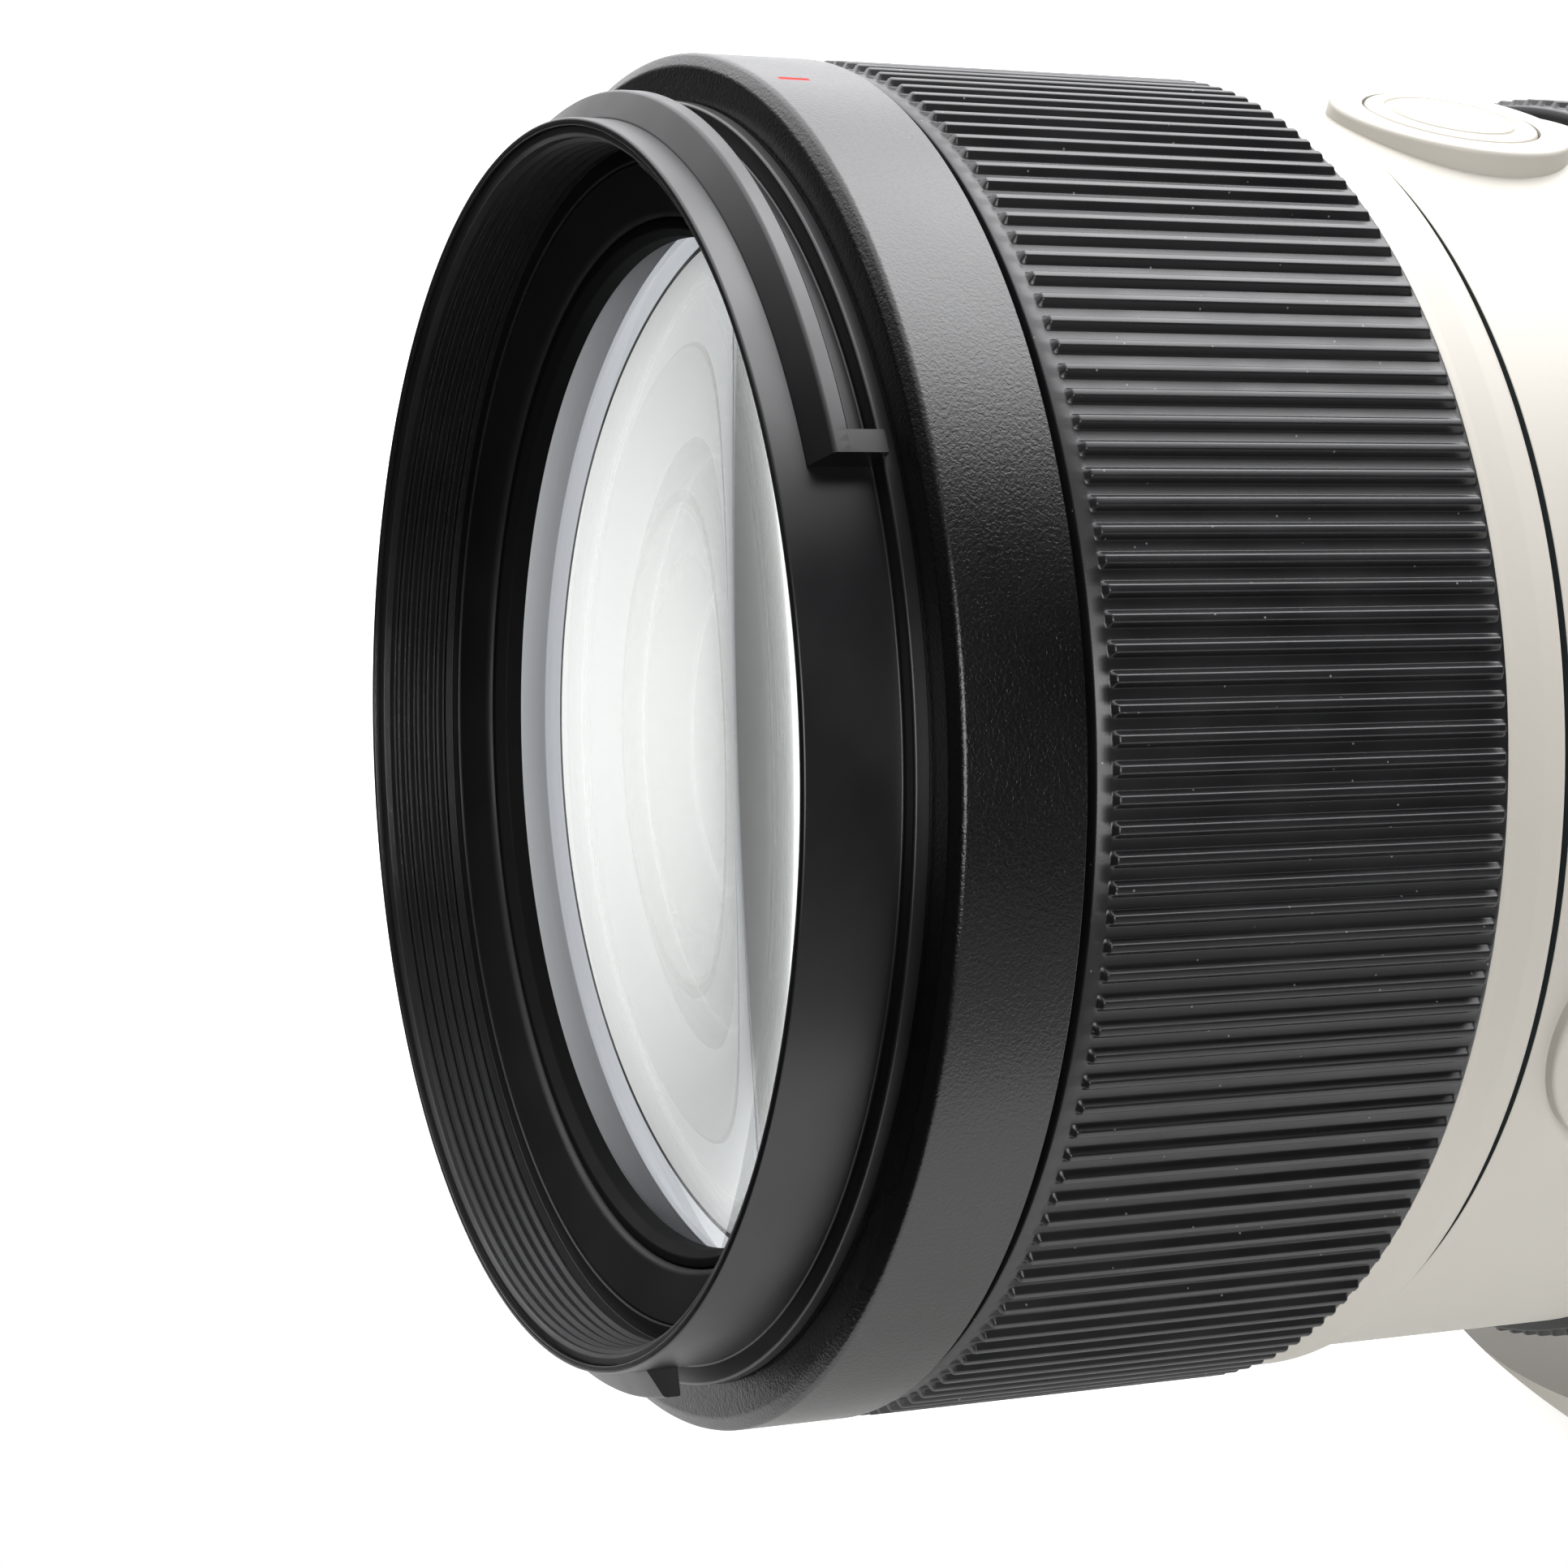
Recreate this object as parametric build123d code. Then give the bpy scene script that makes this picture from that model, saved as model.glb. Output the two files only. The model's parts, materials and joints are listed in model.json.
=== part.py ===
"""Full-frame telephoto zoom lens with internal zooming, a tripod collar and three focus-hold buttons.

Millimetres. The optical axis lies along Y, the front rim faces -Y, +Z is the top of the lens and
+X is the photographer's left. The origin is the centre of the camera flange.
"""
from build123d import *
from math import atan2, cos, degrees, hypot, radians, sin, sqrt
import os

os.makedirs("parts", exist_ok=True)

# Sizes shared by the whole lens
overall_length = 200.0
grip_radius = 44.0
shell_radius = 42.8
main_radius = 40.8
main_wall = 1.6
fit_gap = 0.05
seat_gap = 0.3
ring_gap = 0.4
edge = 0.5
fine_edge = 0.2
overrun = 2.0

main_inner = main_radius - main_wall
cover_inner = main_radius + fit_gap
seated_radius = main_inner - fit_gap

# Widths of the rings, from the front rim to the camera flange
recess_width = 6.0
ridge_width = 1.0
index_width = 8.0
focus_gap = 0.75
focus_width = 26.9
strip_gap = 0.1
strip_width = 4.15
groove_width = 0.45
front_barrel_width = 21.65
zoom_gap = 0.5
zoom_grip_width = 30.0
scale_width = 8.5
rear_barrel_width = 37.2
collar_width = 18.0
mount_flange_width = 3.0

rim_y = -overall_length
ridge_y = rim_y + recess_width
index_y = ridge_y + ridge_width
index_end_y = index_y + index_width
focus_y = index_end_y + focus_gap
focus_end_y = focus_y + focus_width
strip_y = focus_end_y + strip_gap
strip_end_y = strip_y + strip_width
front_barrel_y = strip_end_y + groove_width
front_barrel_end_y = front_barrel_y + front_barrel_width
zoom_y = front_barrel_end_y + zoom_gap
scale_y = zoom_y + zoom_grip_width
scale_end_y = scale_y + scale_width
rear_barrel_y = scale_end_y + ring_gap
journal_y = rear_barrel_y + rear_barrel_width
collar_y = journal_y + ring_gap
collar_end_y = collar_y + collar_width
cone_y = collar_end_y + ring_gap
mount_y = -mount_flange_width


def turned(points):
    """Solid of a closed outline of (radius, y) points, turned about the optical axis."""
    return revolve(make_face(Polyline(*points, close=True)), axis=Axis.Y)


def tube(outer, inner, y_a, y_b):
    return turned([(inner, y_a), (outer, y_a), (outer, y_b), (inner, y_b)])


def soft_tube(outer, inner, y_a, y_b, bevel):
    """Tube with both outer edges broken by a bevel."""
    return turned([
        (inner, y_a), (outer - bevel, y_a), (outer, y_a + bevel),
        (outer, y_b - bevel), (outer - bevel, y_b), (inner, y_b),
    ])


def disc(radius, y_a, y_b):
    return turned([(0, y_a), (radius, y_a), (radius, y_b), (0, y_b)])


def around(shape, angle):
    """Turn a shape made at the top of the lens towards +X by an angle in degrees."""
    return shape.rotate(Axis.Y, angle)


def radial_rod(radius, low, high, y, angle=0):
    """Round rod that points away from the optical axis, between two distances from it."""
    rod = Pos(0, y, (low + high) / 2) * Cylinder(radius, high - low)
    return around(rod, angle)


def radial_block(width, length, low, high, y, angle=0):
    """Block across the barrel (width) and along it (length), centred on y."""
    block = Pos(0, y, (low + high) / 2) * Box(width, length, high - low)
    return around(block, angle)


def axial_rod(radius, y_a, y_b, reach, angle):
    """Round rod parallel to the optical axis, at a distance (reach) from it."""
    rod = Pos(0, (y_a + y_b) / 2, reach) * Rot(90, 0, 0) * Cylinder(radius, y_b - y_a)
    return around(rod, angle)


def plate(face, y_a, thickness):
    """Plate across the axis; the face's own x and y become X and Z."""
    return Pos(0, y_a + thickness, 0) * Rot(90, 0, 0) * extrude(face, thickness)


def spot(radius, angle):
    """Point on the face of a plate, at an angle from the top towards +X."""
    return (radius * sin(radians(angle)), radius * cos(radians(angle)))


def sector(reach, start, end, steps=12):
    """Pie-shaped face from the axis out to a reach, between two angles."""
    turn = (end - start) / steps
    arc = [spot(reach, start + turn * step) for step in range(steps + 1)]
    return make_face(Polyline((0, 0), *arc, close=True))


def arc_block(outer, inner, y_a, y_b, start, end):
    """Part of a tube between two angles."""
    wedge = plate(sector(outer + overrun, start, end), y_a - overrun, y_b - y_a + 2 * overrun)
    return tube(outer, inner, y_a, y_b) & wedge


def lens_blank(radius, front_y, rear_y, front_curve, rear_curve):
    """Glass element; a curve is the radius of a face that bulges outwards, or 0 for a flat one."""
    glass = disc(radius, front_y, rear_y)
    for face_y, curve, way in ((front_y, front_curve, 1), (rear_y, rear_curve, -1)):
        if curve:
            depth = sqrt(curve**2 - radius**2)
            ball = Pos(0, face_y + way * depth, 0) * Sphere(curve)
            height = curve - depth
            cap = disc(radius, min(face_y, face_y - way * height), max(face_y, face_y - way * height))
            glass = glass + (cap & ball)
    return glass


def save(shape, name):
    solids = shape.solids()
    kept = solids[0] if len(solids) == 1 else Compound(children=list(solids))
    export_step(kept, f"parts/{name}.step")


# Hood bayonet and filter ring
rim_radius = 39.7
rim_wall = 0.5
rim_edge = 0.25
ridge_radius = 41.0
lug_radius = 41.5
lug_front = 3.0
lug_width = 1.1
lug_slope = 1.0
top_lug_half = 42.4
bottom_lug_half = 37.5
stop_turn = 1.95
skirt_width = 4.8
filter_radius = 38.1
filter_start = 0.3
filter_depth = 4.4
filter_bevel = 0.35
filter_shelf = 0.75

skirt_end_y = index_y + skirt_width
lug_y = rim_y + lug_front
lug_end_y = lug_y + lug_width
filter_y = rim_y + filter_start
filter_end_y = filter_y + filter_depth
rim_inner = rim_radius - rim_wall


def bayonet_lug(middle, half):
    """Lug with a sloped front, and a stop wall behind its end nearest to the entry gap."""
    flange = turned([
        (rim_inner + rim_edge, lug_y - lug_slope), (rim_radius, lug_y - lug_slope), (lug_radius, lug_y),
        (lug_radius, lug_end_y), (rim_inner + rim_edge, lug_end_y),
    ])
    length = ridge_y - rim_y
    lug = flange & plate(sector(lug_radius + overrun, middle - half, middle + half), rim_y, length)
    start = middle + half - stop_turn
    stop = arc_block(lug_radius, rim_inner + rim_edge, lug_end_y - rim_edge, ridge_y + rim_edge,
                     start, middle + half)
    return lug + stop


def make_bayonet_ring():
    body = turned([
        (rim_inner, rim_y), (rim_radius - rim_edge, rim_y), (rim_radius, rim_y + rim_edge),
        (rim_radius, ridge_y), (ridge_radius, ridge_y), (ridge_radius, index_y - rim_edge),
        (main_radius, index_y - rim_edge), (main_radius, skirt_end_y), (rim_inner, skirt_end_y),
    ])
    return body + bayonet_lug(0, top_lug_half) + bayonet_lug(180, bottom_lug_half)


def make_filter_ring():
    outer = rim_inner - fit_gap
    shelf = filter_radius - filter_shelf
    return turned([
        (outer, filter_y), (filter_radius + filter_bevel, filter_y),
        (filter_radius, filter_y + filter_bevel), (filter_radius, filter_end_y),
        (shelf, filter_end_y), (shelf, skirt_end_y), (outer, skirt_end_y),
    ])


# Front trim ring, retainer, front element and the cell that holds them
trim_start = 5.0
trim_inner = 33.8
trim_slope = 1.5
trim_width = 3.5
retainer_wall = 0.9
retainer_flat = 0.35
retainer_drop = 0.9
glass_edge = 9.5
front_glass_radius = 33.7
front_glass_width = 9.0
front_glass_curve = 190.0
shoulder_width = 2.0
shoulder_radius = 30.5
cell_bore = 32.0
cell_width = 31.4
cell_skirt_width = 7.9
cell_skirt_radius = 37.2

trim_y = rim_y + trim_start
trim_outer = filter_radius - filter_shelf - fit_gap
trim_end_y = trim_y + trim_width
glass_y = rim_y + glass_edge
glass_end_y = glass_y + front_glass_width
main_y = skirt_end_y + fine_edge
cell_y = trim_end_y + fit_gap
cell_end_y = cell_y + cell_width


def make_trim_ring():
    return turned([
        (trim_outer, trim_y), (trim_inner, trim_y + trim_slope),
        (trim_inner, trim_end_y), (trim_outer, trim_end_y),
    ])


def make_retainer():
    outer = front_glass_radius
    inner = outer - retainer_wall
    face_y = trim_y + trim_slope + retainer_drop
    return turned([
        (outer, face_y), (outer - retainer_flat, face_y), (inner, face_y + retainer_wall),
        (inner, glass_y - seat_gap), (outer, glass_y - seat_gap + fine_edge),
    ])


def make_front_cell():
    bore = front_glass_radius + fit_gap
    shoulder_end_y = glass_end_y + shoulder_width
    skirt_end = cell_end_y + cell_skirt_width
    return turned([
        (bore, cell_y), (trim_outer, cell_y), (trim_outer, main_y), (seated_radius, main_y),
        (seated_radius, skirt_end), (cell_skirt_radius, skirt_end), (cell_skirt_radius, cell_end_y),
        (cell_bore, cell_end_y), (cell_bore, shoulder_end_y), (shoulder_radius, shoulder_end_y),
        (shoulder_radius, glass_end_y), (bore, glass_end_y),
    ])


# Index ring and the red mark for the lens hood
index_slope = 1.0
mark_front = 1.85
mark_length = 2.0
mark_width = 0.5
mark_depth = 0.3


def make_index_ring():
    body = turned([
        (cover_inner, index_y), (grip_radius - index_slope, index_y),
        (grip_radius, index_y + edge), (grip_radius, index_end_y - fine_edge),
        (grip_radius - fine_edge, index_end_y), (cover_inner, index_end_y),
    ])
    return body - radial_block(mark_width, mark_length, grip_radius - mark_depth,
                               grip_radius + overrun, index_y + mark_front + mark_length / 2)


def make_index_mark():
    return radial_block(mark_width, mark_length, grip_radius - mark_depth, grip_radius,
                        index_y + mark_front + mark_length / 2)


# Ribbed rubber grips and the sleeves they are stretched over
rib_count = 166
rib_height = 0.5
rib_crest_share = 0.24
rib_foot_share = 0.62
rib_end_slope = 0.4
rubber_wall = 1.4
front_lip_width = 0.95
rear_lip_width = 0.2
lip_edge = 0.1
band_radius = 43.4
strip_radius = 43.6

sleeve_radius = grip_radius - rubber_wall


def make_grip(y_a, y_b):
    """Rubber ring: fine raised ribs along the axis, with sloped ends between two plain lips."""
    pitch = 360 / rib_count
    floor = grip_radius - rib_height
    outline = []
    for rib in range(rib_count):
        for radius, side in ((floor, -rib_foot_share), (grip_radius, -rib_crest_share),
                             (grip_radius, rib_crest_share), (floor, rib_foot_share)):
            outline.append(spot(radius, (rib + side / 2) * pitch))
    ribs_y, ribs_end_y = y_a + front_lip_width, y_b - rear_lip_width
    ribs = plate(make_face(Polyline(*outline, close=True)), ribs_y, ribs_end_y - ribs_y)
    room = turned([
        (sleeve_radius, ribs_y), (floor, ribs_y), (grip_radius, ribs_y + rib_end_slope),
        (grip_radius, ribs_end_y - rib_end_slope), (floor, ribs_end_y), (sleeve_radius, ribs_end_y),
    ])
    return soft_tube(floor, sleeve_radius, y_a, y_b, lip_edge) + (ribs & room)


def make_focus_sleeve():
    return tube(sleeve_radius - fine_edge, cover_inner, focus_y, focus_end_y - fine_edge)


def make_end_ring():
    return turned([
        (cover_inner, strip_y), (strip_radius, strip_y), (strip_radius, strip_end_y - edge),
        (shell_radius, strip_end_y), (cover_inner, strip_end_y),
    ])


# Zoom gear: ring, key, cam sleeve, guide tube and the sliding carriage
zoom_turn = 70.0
zoom_travel = 28.0
key_radius = 1.8
key_back = 4.0
key_angle = 145.0
cam_outer = 38.6
cam_wall = 1.6
guide_wall = 1.55
guide_start = 44.0
guide_flange_width = 2.0
carriage_width = 10.0
carriage_bore = 26.0
carriage_start = 51.0
roller_radius = 2.0
roller_depth = 2.2
roller_count = 3
first_roller = 60.0
zoom_glass_width = 3.0
zoom_glass_curve = 70.0

cam_inner = cam_outer - cam_wall
guide_radius = cam_inner - fit_gap
guide_inner = guide_radius - guide_wall
guide_y = rim_y + guide_start
guide_end_y = scale_end_y + guide_flange_width * 2
cam_y = cell_end_y + cell_skirt_width + seat_gap
cam_end_y = guide_end_y - guide_flange_width - seat_gap
carriage_y = rim_y + carriage_start
roller_y = carriage_y + carriage_width / 2
carriage_radius = guide_inner - fit_gap
key_y = scale_end_y - key_back
roller_angles = [first_roller + 360 * number / roller_count for number in range(roller_count)]


def make_zoom_sleeve():
    body = turned([
        (cover_inner, zoom_y), (sleeve_radius - fine_edge, zoom_y), (sleeve_radius - fine_edge, scale_y),
        (band_radius, scale_y), (band_radius, scale_end_y - fine_edge),
        (band_radius - fine_edge, scale_end_y), (cover_inner, scale_end_y),
    ])
    return body + radial_rod(key_radius, cam_inner + fine_edge, shell_radius - edge, key_y, key_angle)


def slanted_slot(half_width, angle, steps=14):
    """Cutter for one helical cam slot: short straight cuts between round ones."""
    cutter = None
    low = cam_inner - overrun
    high = cam_outer + overrun
    middle = (cam_inner + cam_outer) / 2
    rise = zoom_travel / steps
    turn = zoom_turn / steps
    for step in range(steps + 1):
        at = angle - turn * step
        round_cut = radial_rod(half_width, low, high, roller_y + rise * step, at)
        cutter = round_cut if cutter is None else cutter + round_cut
        if step < steps:
            across = 2 * middle * sin(radians(turn / 2))
            tilt = degrees(atan2(rise, -across))
            bar = Box(hypot(rise, across), 2 * half_width, high - low)
            bar = Pos(0, roller_y + rise * (step + 0.5), (low + high) / 2) * Rot(0, 0, tilt) * bar
            cutter = cutter + around(bar, at - turn / 2)
    return cutter


def make_cam_sleeve():
    sleeve = tube(cam_outer, cam_inner, cam_y, cam_end_y)
    for angle in roller_angles:
        sleeve = sleeve - slanted_slot(roller_radius + fit_gap * 2, angle)
    return sleeve - radial_rod(key_radius + fit_gap, cam_inner - overrun, cam_outer + overrun,
                               key_y, key_angle)


def make_guide_tube():
    step_y = guide_end_y - guide_flange_width
    body = turned([
        (guide_inner, guide_y), (guide_radius, guide_y), (guide_radius, step_y),
        (seated_radius, step_y), (seated_radius, guide_end_y), (guide_inner, guide_end_y),
    ])
    width = 2 * (roller_radius + fit_gap)
    low = guide_inner - overrun
    high = guide_radius + overrun
    for angle in roller_angles:
        middle = roller_y + zoom_travel / 2
        body = body - radial_block(width, zoom_travel, low, high, middle, angle)
        for end_y in (roller_y, roller_y + zoom_travel):
            body = body - radial_rod(width / 2, low, high, end_y, angle)
    return body


def make_zoom_carriage():
    body = tube(carriage_radius, carriage_bore, carriage_y, carriage_y + carriage_width)
    for angle in roller_angles:
        body = body - radial_rod(roller_radius + fit_gap, carriage_radius - roller_depth - fit_gap,
                                 carriage_radius + overrun, roller_y, angle)
    return body


def make_zoom_rollers():
    return Compound(children=[
        radial_rod(roller_radius, carriage_radius - roller_depth, cam_outer - fine_edge, roller_y, angle)
        for angle in roller_angles
    ])


def make_zoom_lens():
    middle = carriage_y + carriage_width / 2
    return lens_blank(carriage_bore - fit_gap, middle - zoom_glass_width / 2,
                      middle + zoom_glass_width / 2, zoom_glass_curve * 2, zoom_glass_curve * 2)


# Iris: seven blades on steps of their own, between the housing and the drive ring
blade_count = 7
blade_thickness = 0.25
blade_step = 0.4
blade_inner = 19.5
blade_width = 7.0
blade_reach = 95.0
blade_tail = 6.0
blade_swing = 33.0
pivot_radius = 29.0
pin_radius = 0.6
pin_offset = 5.0
pin_depth = 1.0
ear_radius = 1.6
iris_wall = 2.75
iris_floor = 1.4
drive_width = 1.25
drive_wall = 4.0
slot_room = 0.8

iris_y = guide_end_y
blade_y = iris_y + iris_floor + seat_gap
drive_y = blade_y + blade_step * blade_count + fine_edge
iris_end_y = drive_y + drive_width + ring_gap
iris_bore = seated_radius - iris_wall
pin_side = pin_offset * sin(radians(blade_swing / 2))
pin_reach = pivot_radius + pin_offset * cos(radians(blade_swing / 2))
drive_lead = degrees(atan2(pin_side, pin_reach))


def blade_angle(number):
    return 360 * number / blade_count


def make_iris_housing():
    opening = blade_inner - fine_edge
    body = turned([
        (opening, iris_y), (seated_radius, iris_y), (seated_radius, iris_end_y),
        (iris_bore, iris_end_y), (iris_bore, iris_y + iris_floor), (opening, iris_y + iris_floor),
    ])
    for number in range(blade_count):
        body = body - axial_rod(pin_radius + fit_gap, iris_y + iris_floor - pin_depth - fine_edge,
                                iris_y + iris_floor + overrun, pivot_radius, blade_angle(number))
    return body


def make_blade(number):
    """Crescent with an ear that carries the pivot pin in front and the drive pin behind."""
    level_y = blade_y + blade_step * number
    outer = blade_inner + blade_width
    crescent = (Circle(outer) - Circle(blade_inner)) & sector(outer + overrun, -blade_tail, blade_reach)
    neck = Pos(0, (outer + pivot_radius) / 2 - ear_radius / 2) * Rectangle(
        2 * ear_radius, pivot_radius - outer + ear_radius)
    lean = Rot(0, 0, blade_swing / 2)
    arm = Pos(0, pivot_radius) * lean * Pos(0, pin_offset / 2) * Rectangle(2 * ear_radius, pin_offset)
    ear = Pos(0, pivot_radius) * Circle(ear_radius) + Pos(-pin_side, pin_reach) * Circle(ear_radius)
    leaf = plate(crescent + neck + arm + ear, level_y, blade_thickness)
    middle_y = level_y + blade_thickness / 2
    pivot = axial_rod(pin_radius, iris_y + iris_floor - pin_depth, middle_y, pivot_radius, 0)
    drive = axial_rod(pin_radius, middle_y, drive_y + drive_width, hypot(pin_side, pin_reach), -drive_lead)
    return around(leaf + pivot + drive, blade_angle(number))


def make_drive_ring():
    outer = iris_bore - fit_gap
    body = tube(outer, outer - drive_wall, drive_y, drive_y + drive_width)
    reach = pivot_radius + pin_offset
    for number in range(blade_count):
        body = body - radial_block(2 * (pin_radius + fit_gap), drive_width + 2 * overrun,
                                   outer - drive_wall - overrun, reach + slot_room,
                                   drive_y + drive_width / 2, blade_angle(number) - drive_lead)
    return body


# Stabiliser: a slider that moves across, and on it a cell that moves up and down
frame_wall = 2.15
frame_floor = 1.2
frame_opening = 22.0
slider_radius = 33.0
slider_bore = 20.0
slider_width = 2.0
shift_radius = 30.0
shift_bore = 15.5
shift_width = 5.0
shift_glass_width = 2.4
shift_glass_curve = 60.0
rod_reach = 33.5
rod_radius = 1.5
boss_width = 5.0
boss_length = 3.0
boss_depth = 5.0

frame_y = iris_end_y
slider_y = frame_y + frame_floor + seat_gap
shift_y = slider_y + slider_width + seat_gap
boss_y = shift_y + shift_width + ring_gap
frame_end_y = boss_y + boss_length
frame_inner = seated_radius - frame_wall
rod_angles = (90, 270)


def make_stabiliser_frame():
    floor_y = frame_y + frame_floor
    body = turned([
        (frame_opening, frame_y), (seated_radius, frame_y), (seated_radius, frame_end_y),
        (frame_inner, frame_end_y), (frame_inner, floor_y), (frame_opening, floor_y),
    ])
    for angle in rod_angles:
        body = body + radial_block(boss_width, boss_length, frame_inner - boss_depth,
                                   frame_inner + frame_wall / 2, boss_y + boss_length / 2, angle)
        body = body - axial_rod(rod_radius + fit_gap, boss_y + edge, frame_end_y + overrun, rod_reach, angle)
    return body


def make_stabiliser_slider():
    return tube(slider_radius, slider_bore, slider_y, slider_y + slider_width)


def make_stabiliser_cell():
    return tube(shift_radius, shift_bore, shift_y, shift_y + shift_width)


def make_stabiliser_lens():
    middle = shift_y + shift_width / 2
    return lens_blank(shift_bore - fit_gap, middle - shift_glass_width / 2, middle + shift_glass_width / 2,
                      shift_glass_curve * 2, shift_glass_curve * 2)


# Focusing group on two rods, driven by a linear motor, and the rear cell
focus_start = 9.4
focus_ring_width = 8.0
focus_radius = 24.0
focus_bore = 17.0
bearing_radius = 3.2
arm_width = 4.0
coil_width = 7.0
coil_reach = 33.0
focus_glass_width = 2.4
focus_glass_curve = 45.0
motor_width = 14.0
motor_reach = 36.0
motor_wall = 2.5
motor_height = 9.0
motor_front = 2.4
flange_width = 3.0
rear_tube_radius = 22.0
rear_tube_wall = 2.0
rear_tube_end = 10.0
rear_glass_width = 3.0
rear_glass_curve = 50.0
rear_shoulder = 1.5
main_end_lap = 3.6

focus_group_y = frame_end_y + focus_start
rear_flange_y = cone_y - ring_gap
rear_tube_y = rear_flange_y + flange_width
rear_tube_end_y = -rear_tube_end
main_end_y = cone_y + main_end_lap


def make_focus_rods():
    return Compound(children=[
        axial_rod(rod_radius, boss_y + edge + fine_edge, rear_tube_y - edge, rod_reach, angle)
        for angle in rod_angles
    ])


def make_focus_carriage():
    y_b = focus_group_y + focus_ring_width
    middle = focus_group_y + focus_ring_width / 2
    body = tube(focus_radius, focus_bore, focus_group_y, y_b)
    hub = focus_radius - edge
    for angle in rod_angles:
        body = body + radial_block(arm_width, focus_ring_width, hub, rod_reach, middle, angle)
        body = body + axial_rod(bearing_radius, focus_group_y, y_b, rod_reach, angle)
        body = body - axial_rod(rod_radius + fit_gap, focus_group_y - overrun, y_b + overrun,
                                rod_reach, angle)
    return body + radial_block(coil_width, focus_ring_width, hub, coil_reach, middle, 180)


def make_focus_lens():
    middle = focus_group_y + focus_ring_width / 2
    return lens_blank(focus_bore - fit_gap, middle - focus_glass_width / 2, middle + focus_glass_width / 2,
                      focus_glass_curve, focus_glass_curve * 2)


def make_focus_motor():
    y_a = frame_end_y + motor_front
    y_b = rear_flange_y - fit_gap
    low = motor_reach - motor_height
    middle = (y_a + y_b) / 2
    yoke = radial_block(motor_width, y_b - y_a, low, motor_reach, middle, 180)
    channel = radial_block(motor_width - 2 * motor_wall, y_b - y_a + 2 * overrun, low - overrun,
                           motor_reach - motor_wall, middle, 180)
    return yoke - channel


def make_rear_cell():
    tube_inner = rear_tube_radius - rear_tube_wall
    seat_y = rear_tube_end_y - rear_glass_width - rear_shoulder
    body = turned([
        (tube_inner - rear_shoulder, rear_flange_y), (seated_radius, rear_flange_y),
        (seated_radius, rear_tube_y), (rear_tube_radius, rear_tube_y), (rear_tube_radius, rear_tube_end_y),
        (tube_inner, rear_tube_end_y), (tube_inner, seat_y), (tube_inner - rear_shoulder, seat_y),
    ])
    for angle in rod_angles:
        body = body - axial_rod(rod_radius + fit_gap, rear_flange_y - overrun,
                                rear_tube_y - edge + fine_edge, rod_reach, angle)
    return body


def make_rear_lens():
    seat_y = rear_tube_end_y - rear_glass_width - rear_shoulder
    return lens_blank(rear_tube_radius - rear_tube_wall - fit_gap, seat_y, seat_y + rear_glass_width,
                      0, rear_glass_curve * 2)


# Fixed barrels, with the bosses of the focus-hold buttons
button_y_back = 9.45
button_angles = {"top": 0.0, "left": 91.2, "bottom": 180.0}
boss_radius = 8.05
boss_rise = 0.9
button_radius = 5.8
button_rise = 0.1
button_gap = 0.1
button_flange = 6.6
button_flange_height = 0.65
button_seat = 41.7
button_pocket = 7.0
button_edge = 0.2

button_y = front_barrel_y + button_y_back
boss_top = shell_radius + boss_rise


def make_main_barrel():
    body = tube(main_radius, main_inner, main_y, main_end_y)
    for angle in button_angles.values():
        body = body - radial_rod(button_pocket, main_inner - overrun, main_radius + overrun, button_y, angle)
    room = degrees((key_radius + edge) / main_inner)
    slot = arc_block(main_radius + overrun, main_inner - overrun, key_y - key_radius - fine_edge,
                     key_y + key_radius + fine_edge, key_angle - room, key_angle + zoom_turn + room)
    return body - slot


def make_front_barrel():
    body = soft_tube(shell_radius, cover_inner, front_barrel_y, front_barrel_end_y, fine_edge)
    bore = disc(cover_inner, front_barrel_y - overrun, front_barrel_end_y + overrun)
    for angle in button_angles.values():
        body = body + (radial_rod(boss_radius, main_inner, boss_top, button_y, angle) - bore)
        body = body - radial_rod(button_radius + button_gap, main_inner, boss_top + overrun,
                                 button_y, angle)
        body = body - radial_rod(button_flange + button_gap, main_inner - overrun, button_seat,
                                 button_y, angle)
    return body


def make_button(angle):
    top = boss_top + button_rise
    flange_top = button_seat - fit_gap
    flange = radial_rod(button_flange, flange_top - button_flange_height, flange_top, button_y, angle)
    cap = radial_rod(button_radius, flange_top - edge, top, button_y, angle)
    crown = radial_rod(button_radius - button_edge, top, top + button_edge / 2, button_y, angle)
    return flange + cap + crown


# Rear barrel with the switch panel
journal_radius = 41.9
panel_front = 7.0
panel_width = 20.0
panel_radius = 44.3
panel_half_turn = 21.5
panel_angle = 90.0
switch_step = 10.0
switch_pocket_length = 9.0
switch_pocket_width = 4.6
switch_length = 5.0
switch_width = 3.8
switch_rise = 0.8
switch_floor = 43.2
switch_travel = 3.0
switch_names = (
    "focus_mode_switch", "focus_range_switch", "stabiliser_switch", "stabiliser_mode_switch",
)

panel_y = rear_barrel_y + panel_front
panel_middle_y = panel_y + panel_width / 2


def switch_angle(number):
    return panel_angle + switch_step * (number - (len(switch_names) - 1) / 2)


def make_rear_barrel():
    return turned([
        (cover_inner, rear_barrel_y), (shell_radius - fine_edge, rear_barrel_y),
        (shell_radius, rear_barrel_y + fine_edge), (shell_radius, journal_y),
        (journal_radius, journal_y), (journal_radius, cone_y), (cover_inner, cone_y),
    ])


def make_switch_panel():
    body = arc_block(panel_radius, shell_radius + fit_gap, panel_y, panel_y + panel_width,
                     panel_angle - panel_half_turn, panel_angle + panel_half_turn)
    for number in range(len(switch_names)):
        body = body - radial_block(switch_pocket_width, switch_pocket_length, switch_floor,
                                   panel_radius + overrun, panel_middle_y, switch_angle(number))
    return body


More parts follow.
